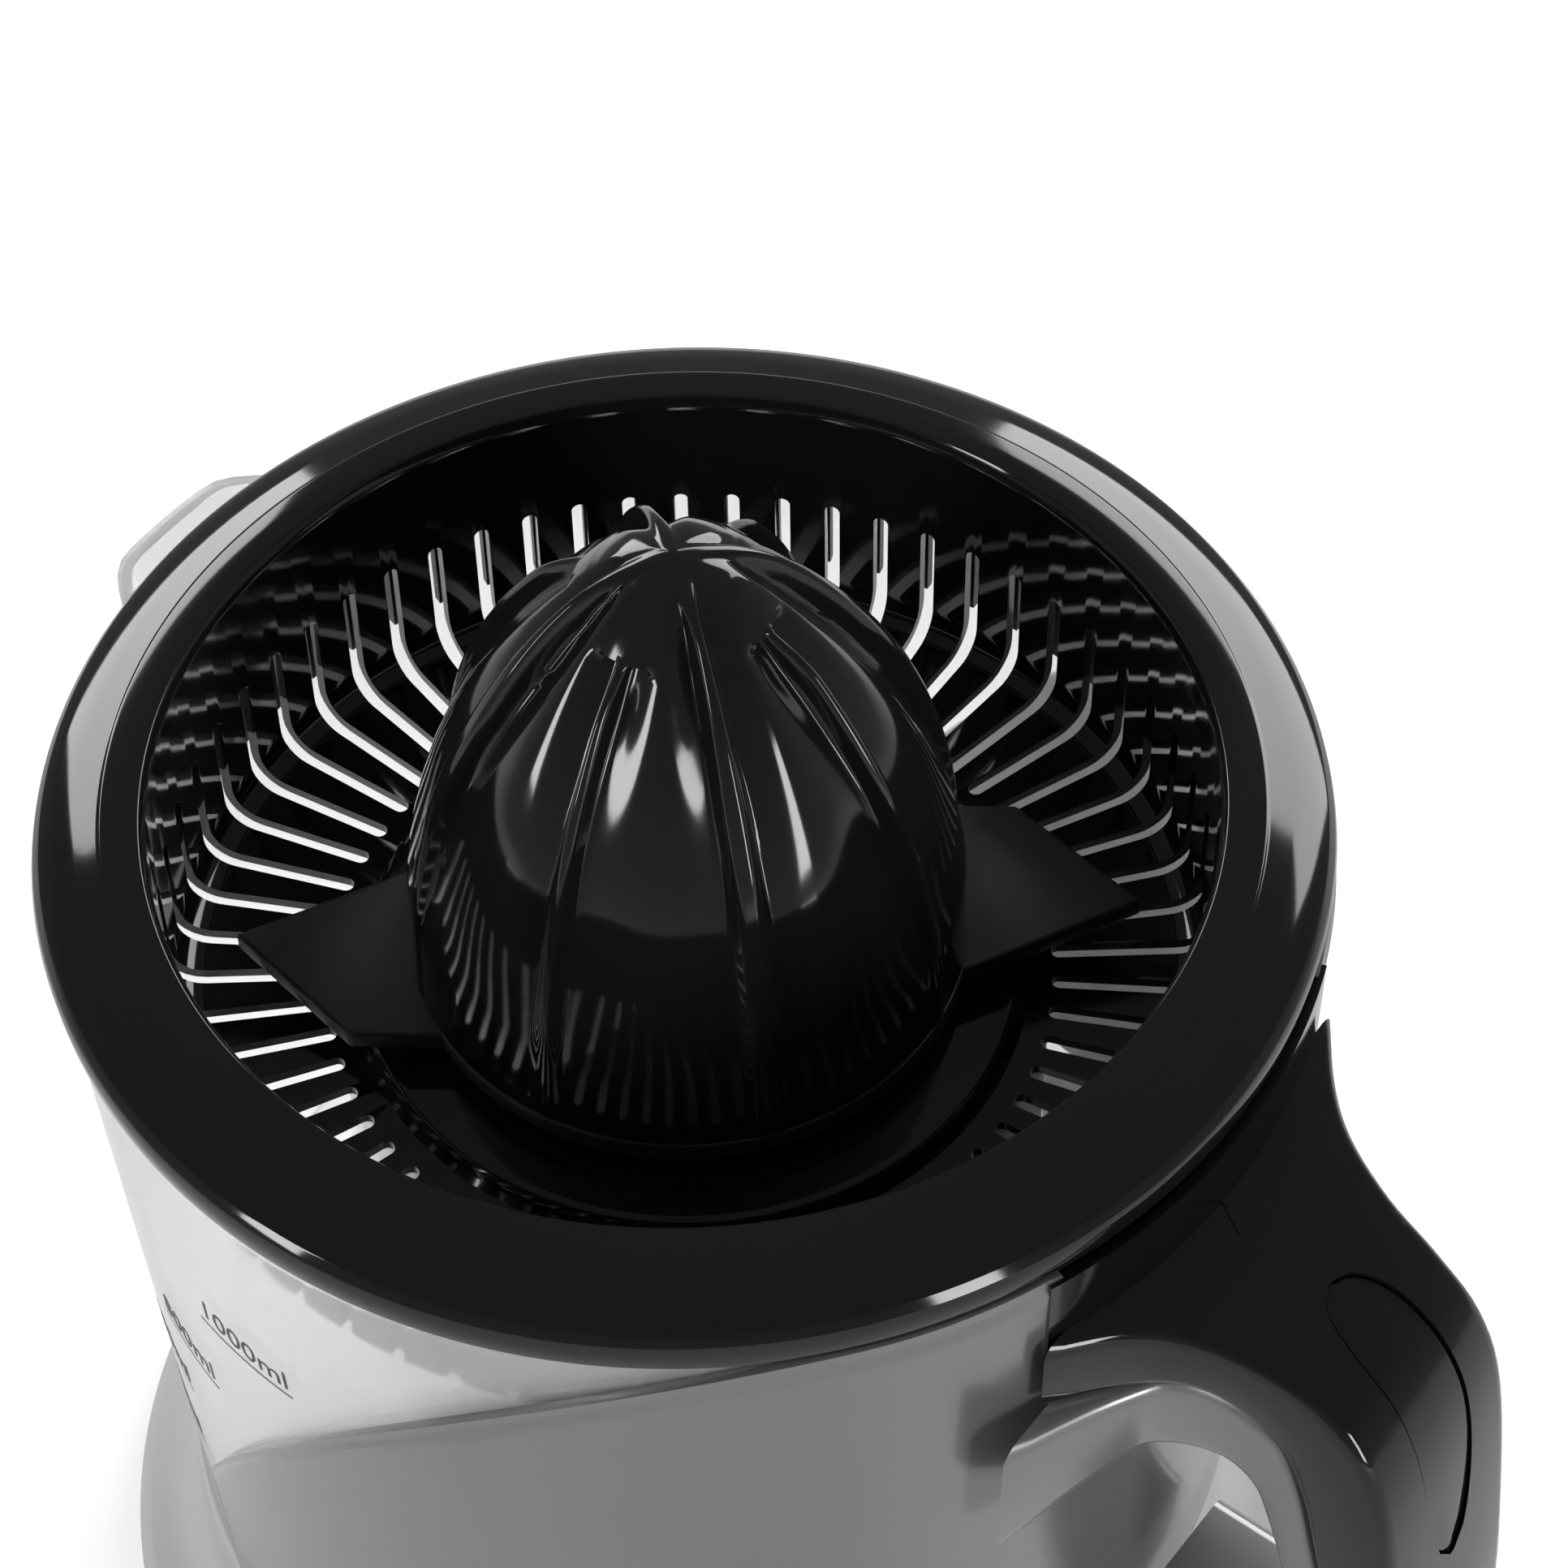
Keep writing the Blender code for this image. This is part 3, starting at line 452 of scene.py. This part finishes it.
# %% Ribs and sunken panels
BROAD = [-36 + 90 * k for k in range(4)]
THIN = [9 + 90 * k for k in range(4)]
DEPTH = ([TIP - 56, TIP - 46, TIP - 36, TIP - 26, TIP - 18, TIP - 12, TIP - 8, TIP - 4,
          TIP - 1.5, TIP],
         [0.3, 1.5, 2.4, 3.3, 4.1, 4.6, 4.6, 3.6, 1.4, 0.0])
FLAT = ([TIP - 50, TIP - 20, TIP - 3], [1.3, 1.0, 0.15])


def away(angle, ribs):
    """Degrees to the nearest rib."""
    return min(abs((angle - rib + 180) % 360 - 180) for rib in ribs)


for vert in cone_drawing.verts:
    x, y, z = vert.co
    r = hypot(x, y)
    if r < 0.5 or r < np.interp(z, smooth_z[::-1], smooth_r[::-1]) - 0.6:
        continue
    angle = degrees(atan2(y, x))
    sink = float(np.interp(z, *DEPTH))
    flat = float(np.interp(z, *FLAT))
    broad, thin = (radians(away(angle, ribs)) * r for ribs in (BROAD, THIN))
    begun = ease((r - 11) / 9)
    kept = max(1 - ease((broad - flat) / 1.6), 0.9 * begun * (1 - ease((thin - 0.4 * flat) / 1.4)))
    crown = 0.4 * ease((min(broad, thin if begun > 0.5 else broad) - 1.5) / (0.34 * r))
    moved = (r - sink * (1 - max(kept, crown))) / r
    vert.co.x, vert.co.y = x * moved, y * moved
piece(
    cone_drawing, "fluted_cone", "large_cone", CONE_GLOSS, "black_gloss", "large_cone", sharp=70
)

# %% [markdown]
# Under the large cone sits a small one for lemons, with a collar and two flat pointed
# wings that sweep the pulp round the floor. Only the collar and wings show. Each wing is
# one face, extruded to its thickness and rounded.

# %% Small cone and its wings
small_section = [
    (0, TIP - 22), (5, TIP - 25), (15, TIP - 36), (22.5, TIP - 51), (27, CONE_RIM + 5.7),
    (27, CONE_RIM - 0.3), (CONE_R, CONE_RIM - 0.3), (CONE_R, WING_LOW), (25, WING_LOW),
    (25, CONE_RIM + 5.7), (20.4, TIP - 52), (13.4, TIP - 38), (8.5, TIP - 34),
    (8.5, TIP - 64), (0, TIP - 64),
]
small_drawing = soften(turned(small_section, 120), 0.4)
WING_TURN = 38
WING_PLAN = [(30, 18.5), (43.0, 18.0), (58.5, 1.5), (36.0, -9.0), (30, -10.5)]
WING_THICK = CONE_RIM - 0.35 - WING_LOW
for way in (0, 180):
    wing = extruded([(x, y, WING_LOW + 0.05) for x, y in WING_PLAN], (0, 0, WING_THICK))
    bmesh.ops.recalc_face_normals(wing, faces=wing.faces)
    soften(wing, 0.6)
    turn(wing, WING_TURN + way)
    small_drawing.from_mesh(mesh_of(wing, "wing"))
piece(small_drawing, "small_cone_and_wings", "small_cone", MATT, "black_matt", "inner_cone")

# %% [markdown]
# The jug is clear and slightly tapered, with a hollow column in the middle that slips
# over the motor tower. Its section is spun once. The points near the rim are then pushed
# out at the spout and lowered behind the handle.

# %% Clear jug
RIM = LIP - 9.0
JUG_TOP_R, JUG_LOW_R = 79.6, 74.8
JUG_WALL = 2.3
COLUMN_EDGE = 53
SPOUT_DEEP = 34
NOTCH_DROP = 9.6
TAPER = (JUG_TOP_R - JUG_LOW_R) / (RIM - JUG_LOW)


def jug_radius(z):
    return JUG_LOW_R + (JUG_TOP_R - JUG_LOW_R) * (z - JUG_LOW) / (RIM - JUG_LOW)


levels = [RIM - drop for drop in (0, 3, 6, 9, 12, 16, 20, 24, 29, 34, 45, 60, 80, 100)]
outer_wall = [(jug_radius(z), z) for z in levels]
outer_wall += [(jug_radius(JUG_LOW) - 0.1, JUG_LOW + 2), (73.6, JUG_LOW)]
inner_wall = [(jug_radius(z) - JUG_WALL, z) for z in levels[::-1]]
jug_section = outer_wall + [
    (45.6, JUG_LOW), (45.0, LIP - 49.5), (42.6, LIP - 45.7), (10, LIP - 45.7), (10, LIP - 22),
    (12.2, LIP - 22), (12.2, LIP - 43.5), (43.8, LIP - 43.5), (46.8, LIP - 46.5),
    (47.8, JUG_LOW + 3), (jug_radius(JUG_LOW + 3) - JUG_WALL, JUG_LOW + 3),
] + inner_wall
jug_drawing = turned(jug_section, 240)
push = SPOUT_REACH - JUG_TOP_R
for vert in jug_drawing.verts:
    x, y, z = vert.co
    r = hypot(x, y)
    if r < COLUMN_EDGE or z < JUG_LOW + 20:
        continue
    side = degrees(abs(atan2(y, -x)))
    rise = ease((z - (RIM - SPOUT_DEEP)) / SPOUT_DEEP)
    grown = push * rise * (1 - ease((side - 5) / 10))
    notch = NOTCH_DROP * (1 - ease((180 - side - 34) / 6)) if z > RIM - 1 else 0
    grown -= TAPER * notch
    vert.co = (x * (1 + grown / r), y * (1 + grown / r), z - notch)
soften(jug_drawing, 0.5, 45, 2)
jug = piece(jug_drawing, "clear_jug", "jug", CLEAR, "clear", "jug_body")
jug.visible_shadow = False

# %% [markdown]
# The grey shell wraps the handle side of the jug. Its top edge runs level under the ring
# and then sweeps down on both sides. It starts as a strip spun part of the way round;
# each column of points is stretched to the height of the sweep, and the border stands
# back a little from the rest, which draws a second line along the edge.

# %% Grey shell
SHELL_HALF = 110
SHELL_LOW = JUG_LOW + 2.5


def shell_top(angle):
    share = max(abs(angle) - 38, 0) / 67
    return LIP - 8.6 - 73 * share**2 - 13 * (1 - ease((abs(angle) - 17) / 3))


ROWS = 48
strip = turned(
    [(80.0, k / ROWS) for k in range(ROWS + 1)], 168, radians(2 * SHELL_HALF), closed=False
)
turn(strip, -SHELL_HALF)
for vert in strip.verts:
    x, y, share = vert.co
    angle = degrees(atan2(y, x))
    high = shell_top(angle)
    z = SHELL_LOW + (high - SHELL_LOW) * (1 - (1 - share) ** 1.6)
    r = jug_radius(z) + 0.3
    r += 0.45 * ease((high - z - 2.2) / 0.9)
    vert.co = (r * cos(radians(angle)), r * sin(radians(angle)), z)
bmesh.ops.recalc_face_normals(strip, faces=strip.faces)
middle = min(strip.faces, key=lambda face: abs(face.calc_center_median().y))
if middle.normal.x < 0:
    bmesh.ops.reverse_faces(strip, faces=strip.faces)
bmesh.ops.solidify(strip, geom=strip.faces[:], thickness=-1.2)
soften(strip, 0.3, 50, 2)
piece(strip, "grey_shell", "jug", GREY, "grey", "jug_shell")

# %% [markdown]
# The handle leaves the ring as a broad black cover and narrows into a grip. Seen from
# the side it is two layers: the glossy cover outside and the grey grip inside. Both are
# skins through the same stations, so they meet along one line. A station is a rounded
# oblong, and the skin grows by extruding the last outline and moving it to the next.
# At its root the grip flares towards the front, and a black collar closes the gap
# between the cover and the ring.

# %% Stations of the handle
# Outer edge, split and inner edge as (x, below the lip), then half the width.
STATIONS = np.array([
    (77.0, 20.2, 77.0, 33.0, 77.0, 55.0, 31.0),
    (82.5, 21.2, 82.5, 33.2, 81.5, 51.5, 23.6),
    (88.0, 22.5, 88.0, 33.5, 86.0, 49.0, 18.8),
    (96.0, 25.0, 93.5, 36.5, 92.5, 49.5, 15.6),
    (104.0, 28.0, 99.5, 41.0, 97.0, 53.5, 14.2),
    (111.0, 34.0, 103.5, 49.0, 99.8, 60.5, 14.0),
    (115.5, 45.0, 106.5, 60.0, 102.5, 69.5, 14.0),
    (REACH - 2, 68.0, 110.5, 76.0, 105.5, 81.0, 14.0),
    (REACH, 90.0, 112.5, 93.0, 107.0, 93.0, 14.0),
    (REACH - 1, 106.0, 111.5, 106.0, 106.0, 102.0, 14.0),
    (REACH - 6, 117.0, 107.5, 114.0, 101.5, 107.0, 14.0),
])
# The grip turns back to the jug at its foot: split and inner edge again.
FOOT = [(104, 123.5, 96, 108.5), (92, 124.6, 90, 109), (80, 124.5, 80, 109)]


def flowing(rows, parts=5):
    """A smooth run through the rows, with some steps between each two."""
    ends = np.vstack([2 * rows[0] - rows[1], rows, 2 * rows[-1] - rows[-2]])
    line = []
    for a, b, c, d in zip(ends, ends[1:], ends[2:], ends[3:]):
        for t in np.arange(parts) / parts:
            line.append(0.5 * (2 * b + (c - a) * t + (2 * a - 5 * b + 4 * c - d) * t**2
                               + (3 * b - a - 3 * c + d) * t**3))
    return [*line, rows[-1]]


def oblong(outer, inner, half, corner, crown=0.0):
    """A rounded outline across the handle; the outer side may be crowned."""
    outer = Vector((outer[0], 0, LIP - outer[1]))
    inner = Vector((inner[0], 0, LIP - inner[1]))
    deep = (inner - outer).length
    down = (inner - outer).normalized()
    corner = min(corner, deep * 0.45)
    points = []
    for middle_y, middle_d, start in (
        (half - corner, corner, 0), (half - corner, deep - corner, -90),
        (-half + corner, deep - corner, -180), (-half + corner, corner, -270),
    ):
        for y, d in arc(middle_y, 0, corner, start + 90, start, 4):
            points.append(outer + Vector((0, y, 0)) + down * (middle_d - d))
    top = [outer - down * crown * (1 - (y / half) ** 2) + Vector((0, y, 0))
           for y in np.linspace(-half + corner, half - corner, 7)[1:-1]]
    return points + top


def skin(outlines):
    drawing = bmesh.new()
    rim = [drawing.verts.new(point) for point in outlines[0]]
    lines = [drawing.edges.new(pair) for pair in zip(rim, rim[1:] + rim[:1])]
    drawing.faces.new(rim)
    for outline in outlines[1:]:
        place = {vert: k for k, vert in enumerate(rim)}
        made = bmesh.ops.extrude_edge_only(drawing, edges=lines)["geom"]
        fresh = [item for item in made if isinstance(item, bmesh.types.BMVert)]
        following = [None] * len(rim)
        for vert in fresh:
            ends = [line.other_vert(vert) for line in vert.link_edges]
            old = next(end for end in ends if end in place)
            following[place[old]] = vert
        for vert, point in zip(following, outline):
            vert.co = point
        rim = following
        lines = [drawing.edges.get(pair) for pair in zip(rim, rim[1:] + rim[:1])]
    drawing.faces.new(rim[::-1])
    bmesh.ops.recalc_face_normals(drawing, faces=drawing.faces)
    return drawing


def seat_on_wall(outlines, clear):
    """Draws back every point that would lie inside the round wall."""
    for outline in outlines:
        for point in outline:
            wall = jug_radius(point.z) + clear
            if abs(point.y) < wall:
                point.x = max(point.x, sqrt(wall**2 - point.y**2))
    return outlines


smooth_rows = flowing(STATIONS)
print("handle outlines", len(smooth_rows))

# %% Collar over the handle
COLLAR_HALF = 21
COLLAR_IN, COLLAR_OUT = 80.5, 81.7
COLLAR_LOW, COLLAR_TOP = LIP - 24, LIP - 9.6
collar_section = [
    (COLLAR_IN, COLLAR_LOW), (COLLAR_OUT, COLLAR_LOW), (COLLAR_OUT, COLLAR_TOP),
    (COLLAR_IN, COLLAR_TOP),
]
collar = turned(collar_section, 44, radians(2 * COLLAR_HALF))
turn(collar, -COLLAR_HALF)
open_ends = [line for line in collar.edges if line.is_boundary]
bmesh.ops.holes_fill(collar, edges=open_ends, sides=4)
piece(collar, "handle_collar", "jug", GLOSS, "black_gloss")

# %% Black cover and grey grip
SEAM = 0.35
FLARE_FROM, FLARE = 86, 0.9
cover_outlines, grip_outlines = [], []
for ox, oz, sx, sz, ix, iz, half in smooth_rows:
    cover_outlines.append(oblong((ox, oz), (sx, sz - 0.15), half, 2.2, 0.5))
    outline = oblong((sx, sz + SEAM), (ix, iz), half - SEAM, 2.6)
    for point in outline:
        point.y -= FLARE * max(FLARE_FROM - ox, 0) * max(-point.y, 0) / half
    grip_outlines.append(outline)
for sx, sz, ix, iz in FOOT:
    grip_outlines.append(oblong((sx, sz), (ix, iz), 13.6, 2.6))
cover = piece(
    skin(seat_on_wall(cover_outlines, 1.0)), "handle_top", "jug", GLOSS, "black_gloss",
    "handle_cover", sharp=50,
)
piece(
    skin(seat_on_wall(grip_outlines, 0.8)), "handle_grip", "jug", GREY, "grey",
    "jug_shell", sharp=50,
)

# %% [markdown]
# A long glossy bean is let into the outside of the cover. It follows the cover's own
# line. The same skin, a little larger and deeper, is carved out of the cover first,
# so that a fine groove runs round the inlay.


# %% Inlay in the cover
BEAN_HALF = 5.4


def bean(rows, grow, above, below):
    outlines = []
    last = len(rows) - 1
    for k, (ox, oz, sx, sz, *_) in enumerate(rows):
        t = min(max(2 * k / last - 1, -1), 1)
        side = BEAN_HALF * max(1 - abs(t) ** 3.2, 0.0) ** 0.5 + grow
        down = Vector((sx - ox, 0, oz - sz)).normalized()
        outer = Vector((ox, 0, LIP - oz))
        section = [
            (-side, above), (-side / 2, above - 0.15), (0, above - 0.2),
            (side / 2, above - 0.15), (side, above), (side, below), (0, below), (-side, below),
        ]
        outlines.append([outer + down * d + Vector((0, y, 0)) for y, d in section])
    return outlines


bean_rows = flowing(STATIONS[3:8], 9)[1:-1]
pocket = skin(bean(bean_rows, 0.45, -3.0, 1.8))
carve(cover, shown("pocket", mesh_in_place(pocket, "pocket")))
piece(
    skin(bean(bean_rows, 0.0, 0.05, 1.6)), "handle_bean", "jug", GLOSS, "black_gloss",
    "handle_inlay", sharp=40,
)

# %% [markdown]
# The motor base shows as a silver skirt under the jug, and through the jug as a tower.
# It is one moulding, spun from its section.

# %% Motor base
BASE_R = (edges_of("base_housing")[1].x - edges_of("base_housing")[0].x) / 2
SKIRT_WALL = 2.3
TOWER_TOP = LIP - 46.5
skirt = [
    (76.0, JUG_LOW - 1.2), (76.1, 27.0), (76.5, 23.6), (77.5, 20.4), (79.2, 17.4), (81.4, 14.8),
    (83.6, 12.6), (85.6, 10.8), (87.2, 9.2), (BASE_R, 7.2),
]
skirt_inside = [(r - SKIRT_WALL, z - 1) for r, z in skirt[::-1][1:-1]]
tower = [
    (74, JUG_LOW - 2.5), (42.7, JUG_LOW - 2.5), (42.1, TOWER_TOP - 4.2), (38.9, TOWER_TOP - 2.2),
    (4.7, TOWER_TOP - 2.2), (4.7, TOWER_TOP + 13), (6.5, TOWER_TOP + 13), (6.5, TOWER_TOP + 18.5),
    (8.5, TOWER_TOP + 18.5), (8.5, TOWER_TOP), (40.9, TOWER_TOP), (44.3, TOWER_TOP - 3),
    (44.9, JUG_LOW - 0.3), (75.0, JUG_LOW - 0.3),
]
base_section = [(BASE_R - 1.2, 4.3), (BASE_R - 3.7, 4.3), *skirt_inside, *tower, *skirt]
base_drawing = soften(turned(base_section, 180), 0.6, 35)
piece(base_drawing, "motor_base", "base", SILVER, "silver", "base_housing")

# %% [markdown]
# The scale is printed on the outside of the jug: a number for each 200 ml, with a rule
# under it. Each is drawn flat as text, made into a mesh, and wrapped on the jug by
# turning its width into an angle and its height into a height.


# %% Printed scale
def wrapped(flat, name, angle, high):
    for vert in flat.verts:
        x, y, z = vert.co
        height = high + y
        r = jug_radius(height) + 0.04 + z
        round_by = radians(angle) + x / jug_radius(high)
        vert.co = (r * cos(round_by), r * sin(round_by), height)
    piece(flat, name, "jug", INK, "black_matt")


def print_mark(number, angle, high):
    flat = bmesh.new()
    letters = bpy.data.curves.new("letters", "FONT")
    letters.body = f"{number}ml"
    letters.size, letters.extrude = 5.6, 0.02
    letters.resolution_u = 3
    text = shown("letters", letters)
    flat.from_mesh(bpy.data.meshes.new_from_object(text))
    bpy.data.objects.remove(text)
    wide = max(vert.co.x for vert in flat.verts)
    long_edges = [line for line in flat.edges if line.calc_length() > 1.5]
    bmesh.ops.subdivide_edges(flat, edges=long_edges, cuts=2)
    rule = bmesh.new()
    bmesh.ops.create_grid(rule, x_segments=24, y_segments=1, size=0.5)
    bmesh.ops.scale(rule, vec=(wide + 1.0, 0.45, 1), verts=rule.verts)
    bmesh.ops.translate(rule, vec=(wide / 2, -1.6, 0), verts=rule.verts)
    flat.from_mesh(mesh_of(rule, "rule"))
    wrapped(flat, f"scale_{number}", angle, high)


for number, angle, below_lip in (
    (1000, -103, 43), (800, -114.5, 62), (600, -124, 80), (400, -127, 99),
):
    print_mark(number, angle, LIP - below_lip)

# %% [markdown]
# A small raised triangle on the cover points at the ring and shows where the strainer
# locks.

# %% Lock mark
MARK_THICK = 0.35
mark = extruded([(80.4, 0, 0), (85.6, -2.9, 0), (85.6, 2.9, 0)], (0, 0, MARK_THICK))
for vert in mark.verts:
    x, y, z = vert.co
    vert.co.z = LIP - np.interp(x, [79.0, 88.0], [20.6, 22.5]) + 0.42 + z
piece(mark, "lock_mark", "jug", GLOSS, "black_gloss")

# %% [markdown]
# The rest of the press is inside it, or below. Those pieces keep the model's own shape
# and take a finish each.

# %% Finishes of the other pieces
FINISHES = {
    "pulp_selector": MATT, "bottom_cover": MATT, "micro_switch": MATT,
    "cord_gland": RUBBER, "foot": RUBBER, "shaft_seal": RUBBER,
    "motor_winding": COPPER, "ring_gear": NYLON, "planet": NYLON, "seal_collar": NYLON,
    "shaft_collar": NYLON, "switch_plunger": NYLON,
}
for name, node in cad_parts.items():
    finish = next((made for start, made in FINISHES.items() if name.startswith(start)), STEEL)
    for place in node.material_slots:
        place.material = finish
print("finished", len(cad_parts))

# %% [markdown]
# The press stands on a white floor. The floor is lit like everything else, and a little
# light of its own takes it up to white where no shadow falls. That light is there for
# the camera, through the clear jug and, weaker, for reflections, and not for lighting.

# %% Floor
floor_drawing = bmesh.new()
bmesh.ops.create_grid(floor_drawing, x_segments=1, y_segments=1, size=4)
floor = shown("floor", mesh_of(floor_drawing, "floor"))
floor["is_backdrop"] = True
WHITE = bpy.data.materials.new("white_floor")
WHITE.use_nodes = True
WHITE.node_tree.nodes.clear()
sight = Wire(WHITE.node_tree)
seen = sight.node("ShaderNodeLightPath", output=0)
mirrored = sight.node("ShaderNodeLightPath", output=3)
through = sight.node("ShaderNodeLightPath", output=6)
strength = (seen + through) * 0.5 + mirrored * 0.16
glow = sight.node("ShaderNodeEmission", Color=(1, 1, 1, 1), Strength=strength)
matte = sight.node("ShaderNodeBsdfDiffuse", Color=(0.8, 0.8, 0.8, 1))
both = sight.node("ShaderNodeAddShader", s0=matte, s1=glow)
sight.node("ShaderNodeOutputMaterial", Surface=both)
floor.data.materials.append(WHITE)
print("floor laid")

# %% [markdown]
# The light is a pale room, brighter towards the horizon than overhead, so that glossy
# black stays black where it faces up. Four soft boxes stand round the press, and they
# are what shows as white panels on the cone and the ring.

# %% World
world = bpy.data.worlds.new("room")
bpy.context.scene.world = world
world.use_nodes = True
world.node_tree.nodes.clear()
sky = Wire(world.node_tree)
direction = sky.node("ShaderNodeTexCoord", output=0)
height = sky.node("ShaderNodeSeparateXYZ", output=2, Vector=direction)
STOPS = [(0.0, (0.26, 0.26, 0.26, 1)), (0.5, (0.13, 0.13, 0.13, 1))]
tone = sky.node("ShaderNodeValToRGB", {"stops": STOPS}, Fac=height)
plain = sky.node("ShaderNodeLightPath", output=0)
shade = sky.node(
    "ShaderNodeMix", {"data_type": "RGBA"}, output=2, s0=plain, s6=tone, s7=(1, 1, 1, 1)
)
ground = sky.node("ShaderNodeBackground", Color=shade, Strength=1.0)
sky.node("ShaderNodeOutputWorld", Surface=ground)

# %% Soft boxes
TARGET = Vector((AXIS_X, 0, LIP)) * MM
AWAY = 1.2


def soft_box(name, azimuth, elevation, wide, high, radiance):
    """Faces the cone. The azimuth is from the handle; the radiance is its brightness."""
    lamp = bpy.data.lights.new(name, "AREA")
    lamp.shape, lamp.size, lamp.size_y = "RECTANGLE", wide, high
    lamp.energy = radiance * pi * wide * high
    box = shown(name, lamp)
    a, e = radians(azimuth), radians(elevation)
    out = Vector((cos(a) * cos(e), sin(a) * cos(e), sin(e)))
    box.location = TARGET + out * AWAY
    box.rotation_mode = "QUATERNION"
    box.rotation_quaternion = (-out).to_track_quat("-Z", "Y")
    print(name, "spans", round(degrees(wide / AWAY)), "degrees")


soft_box("box_back_left", 160, 27, 0.5, 0.46, 7.0)
soft_box("box_back_right", 94, 26, 0.85, 0.56, 6.0)
soft_box("box_front_right", -14, 8, 0.2, 0.5, 13.0)
soft_box("box_front_left", -112, 18, 0.2, 0.5, 13.0)

# %% View settings and size
bpy.context.scene.view_settings.view_transform = "Standard"
low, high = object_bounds()
print("visual", [round(v, 4) for v in (*low, *high)])
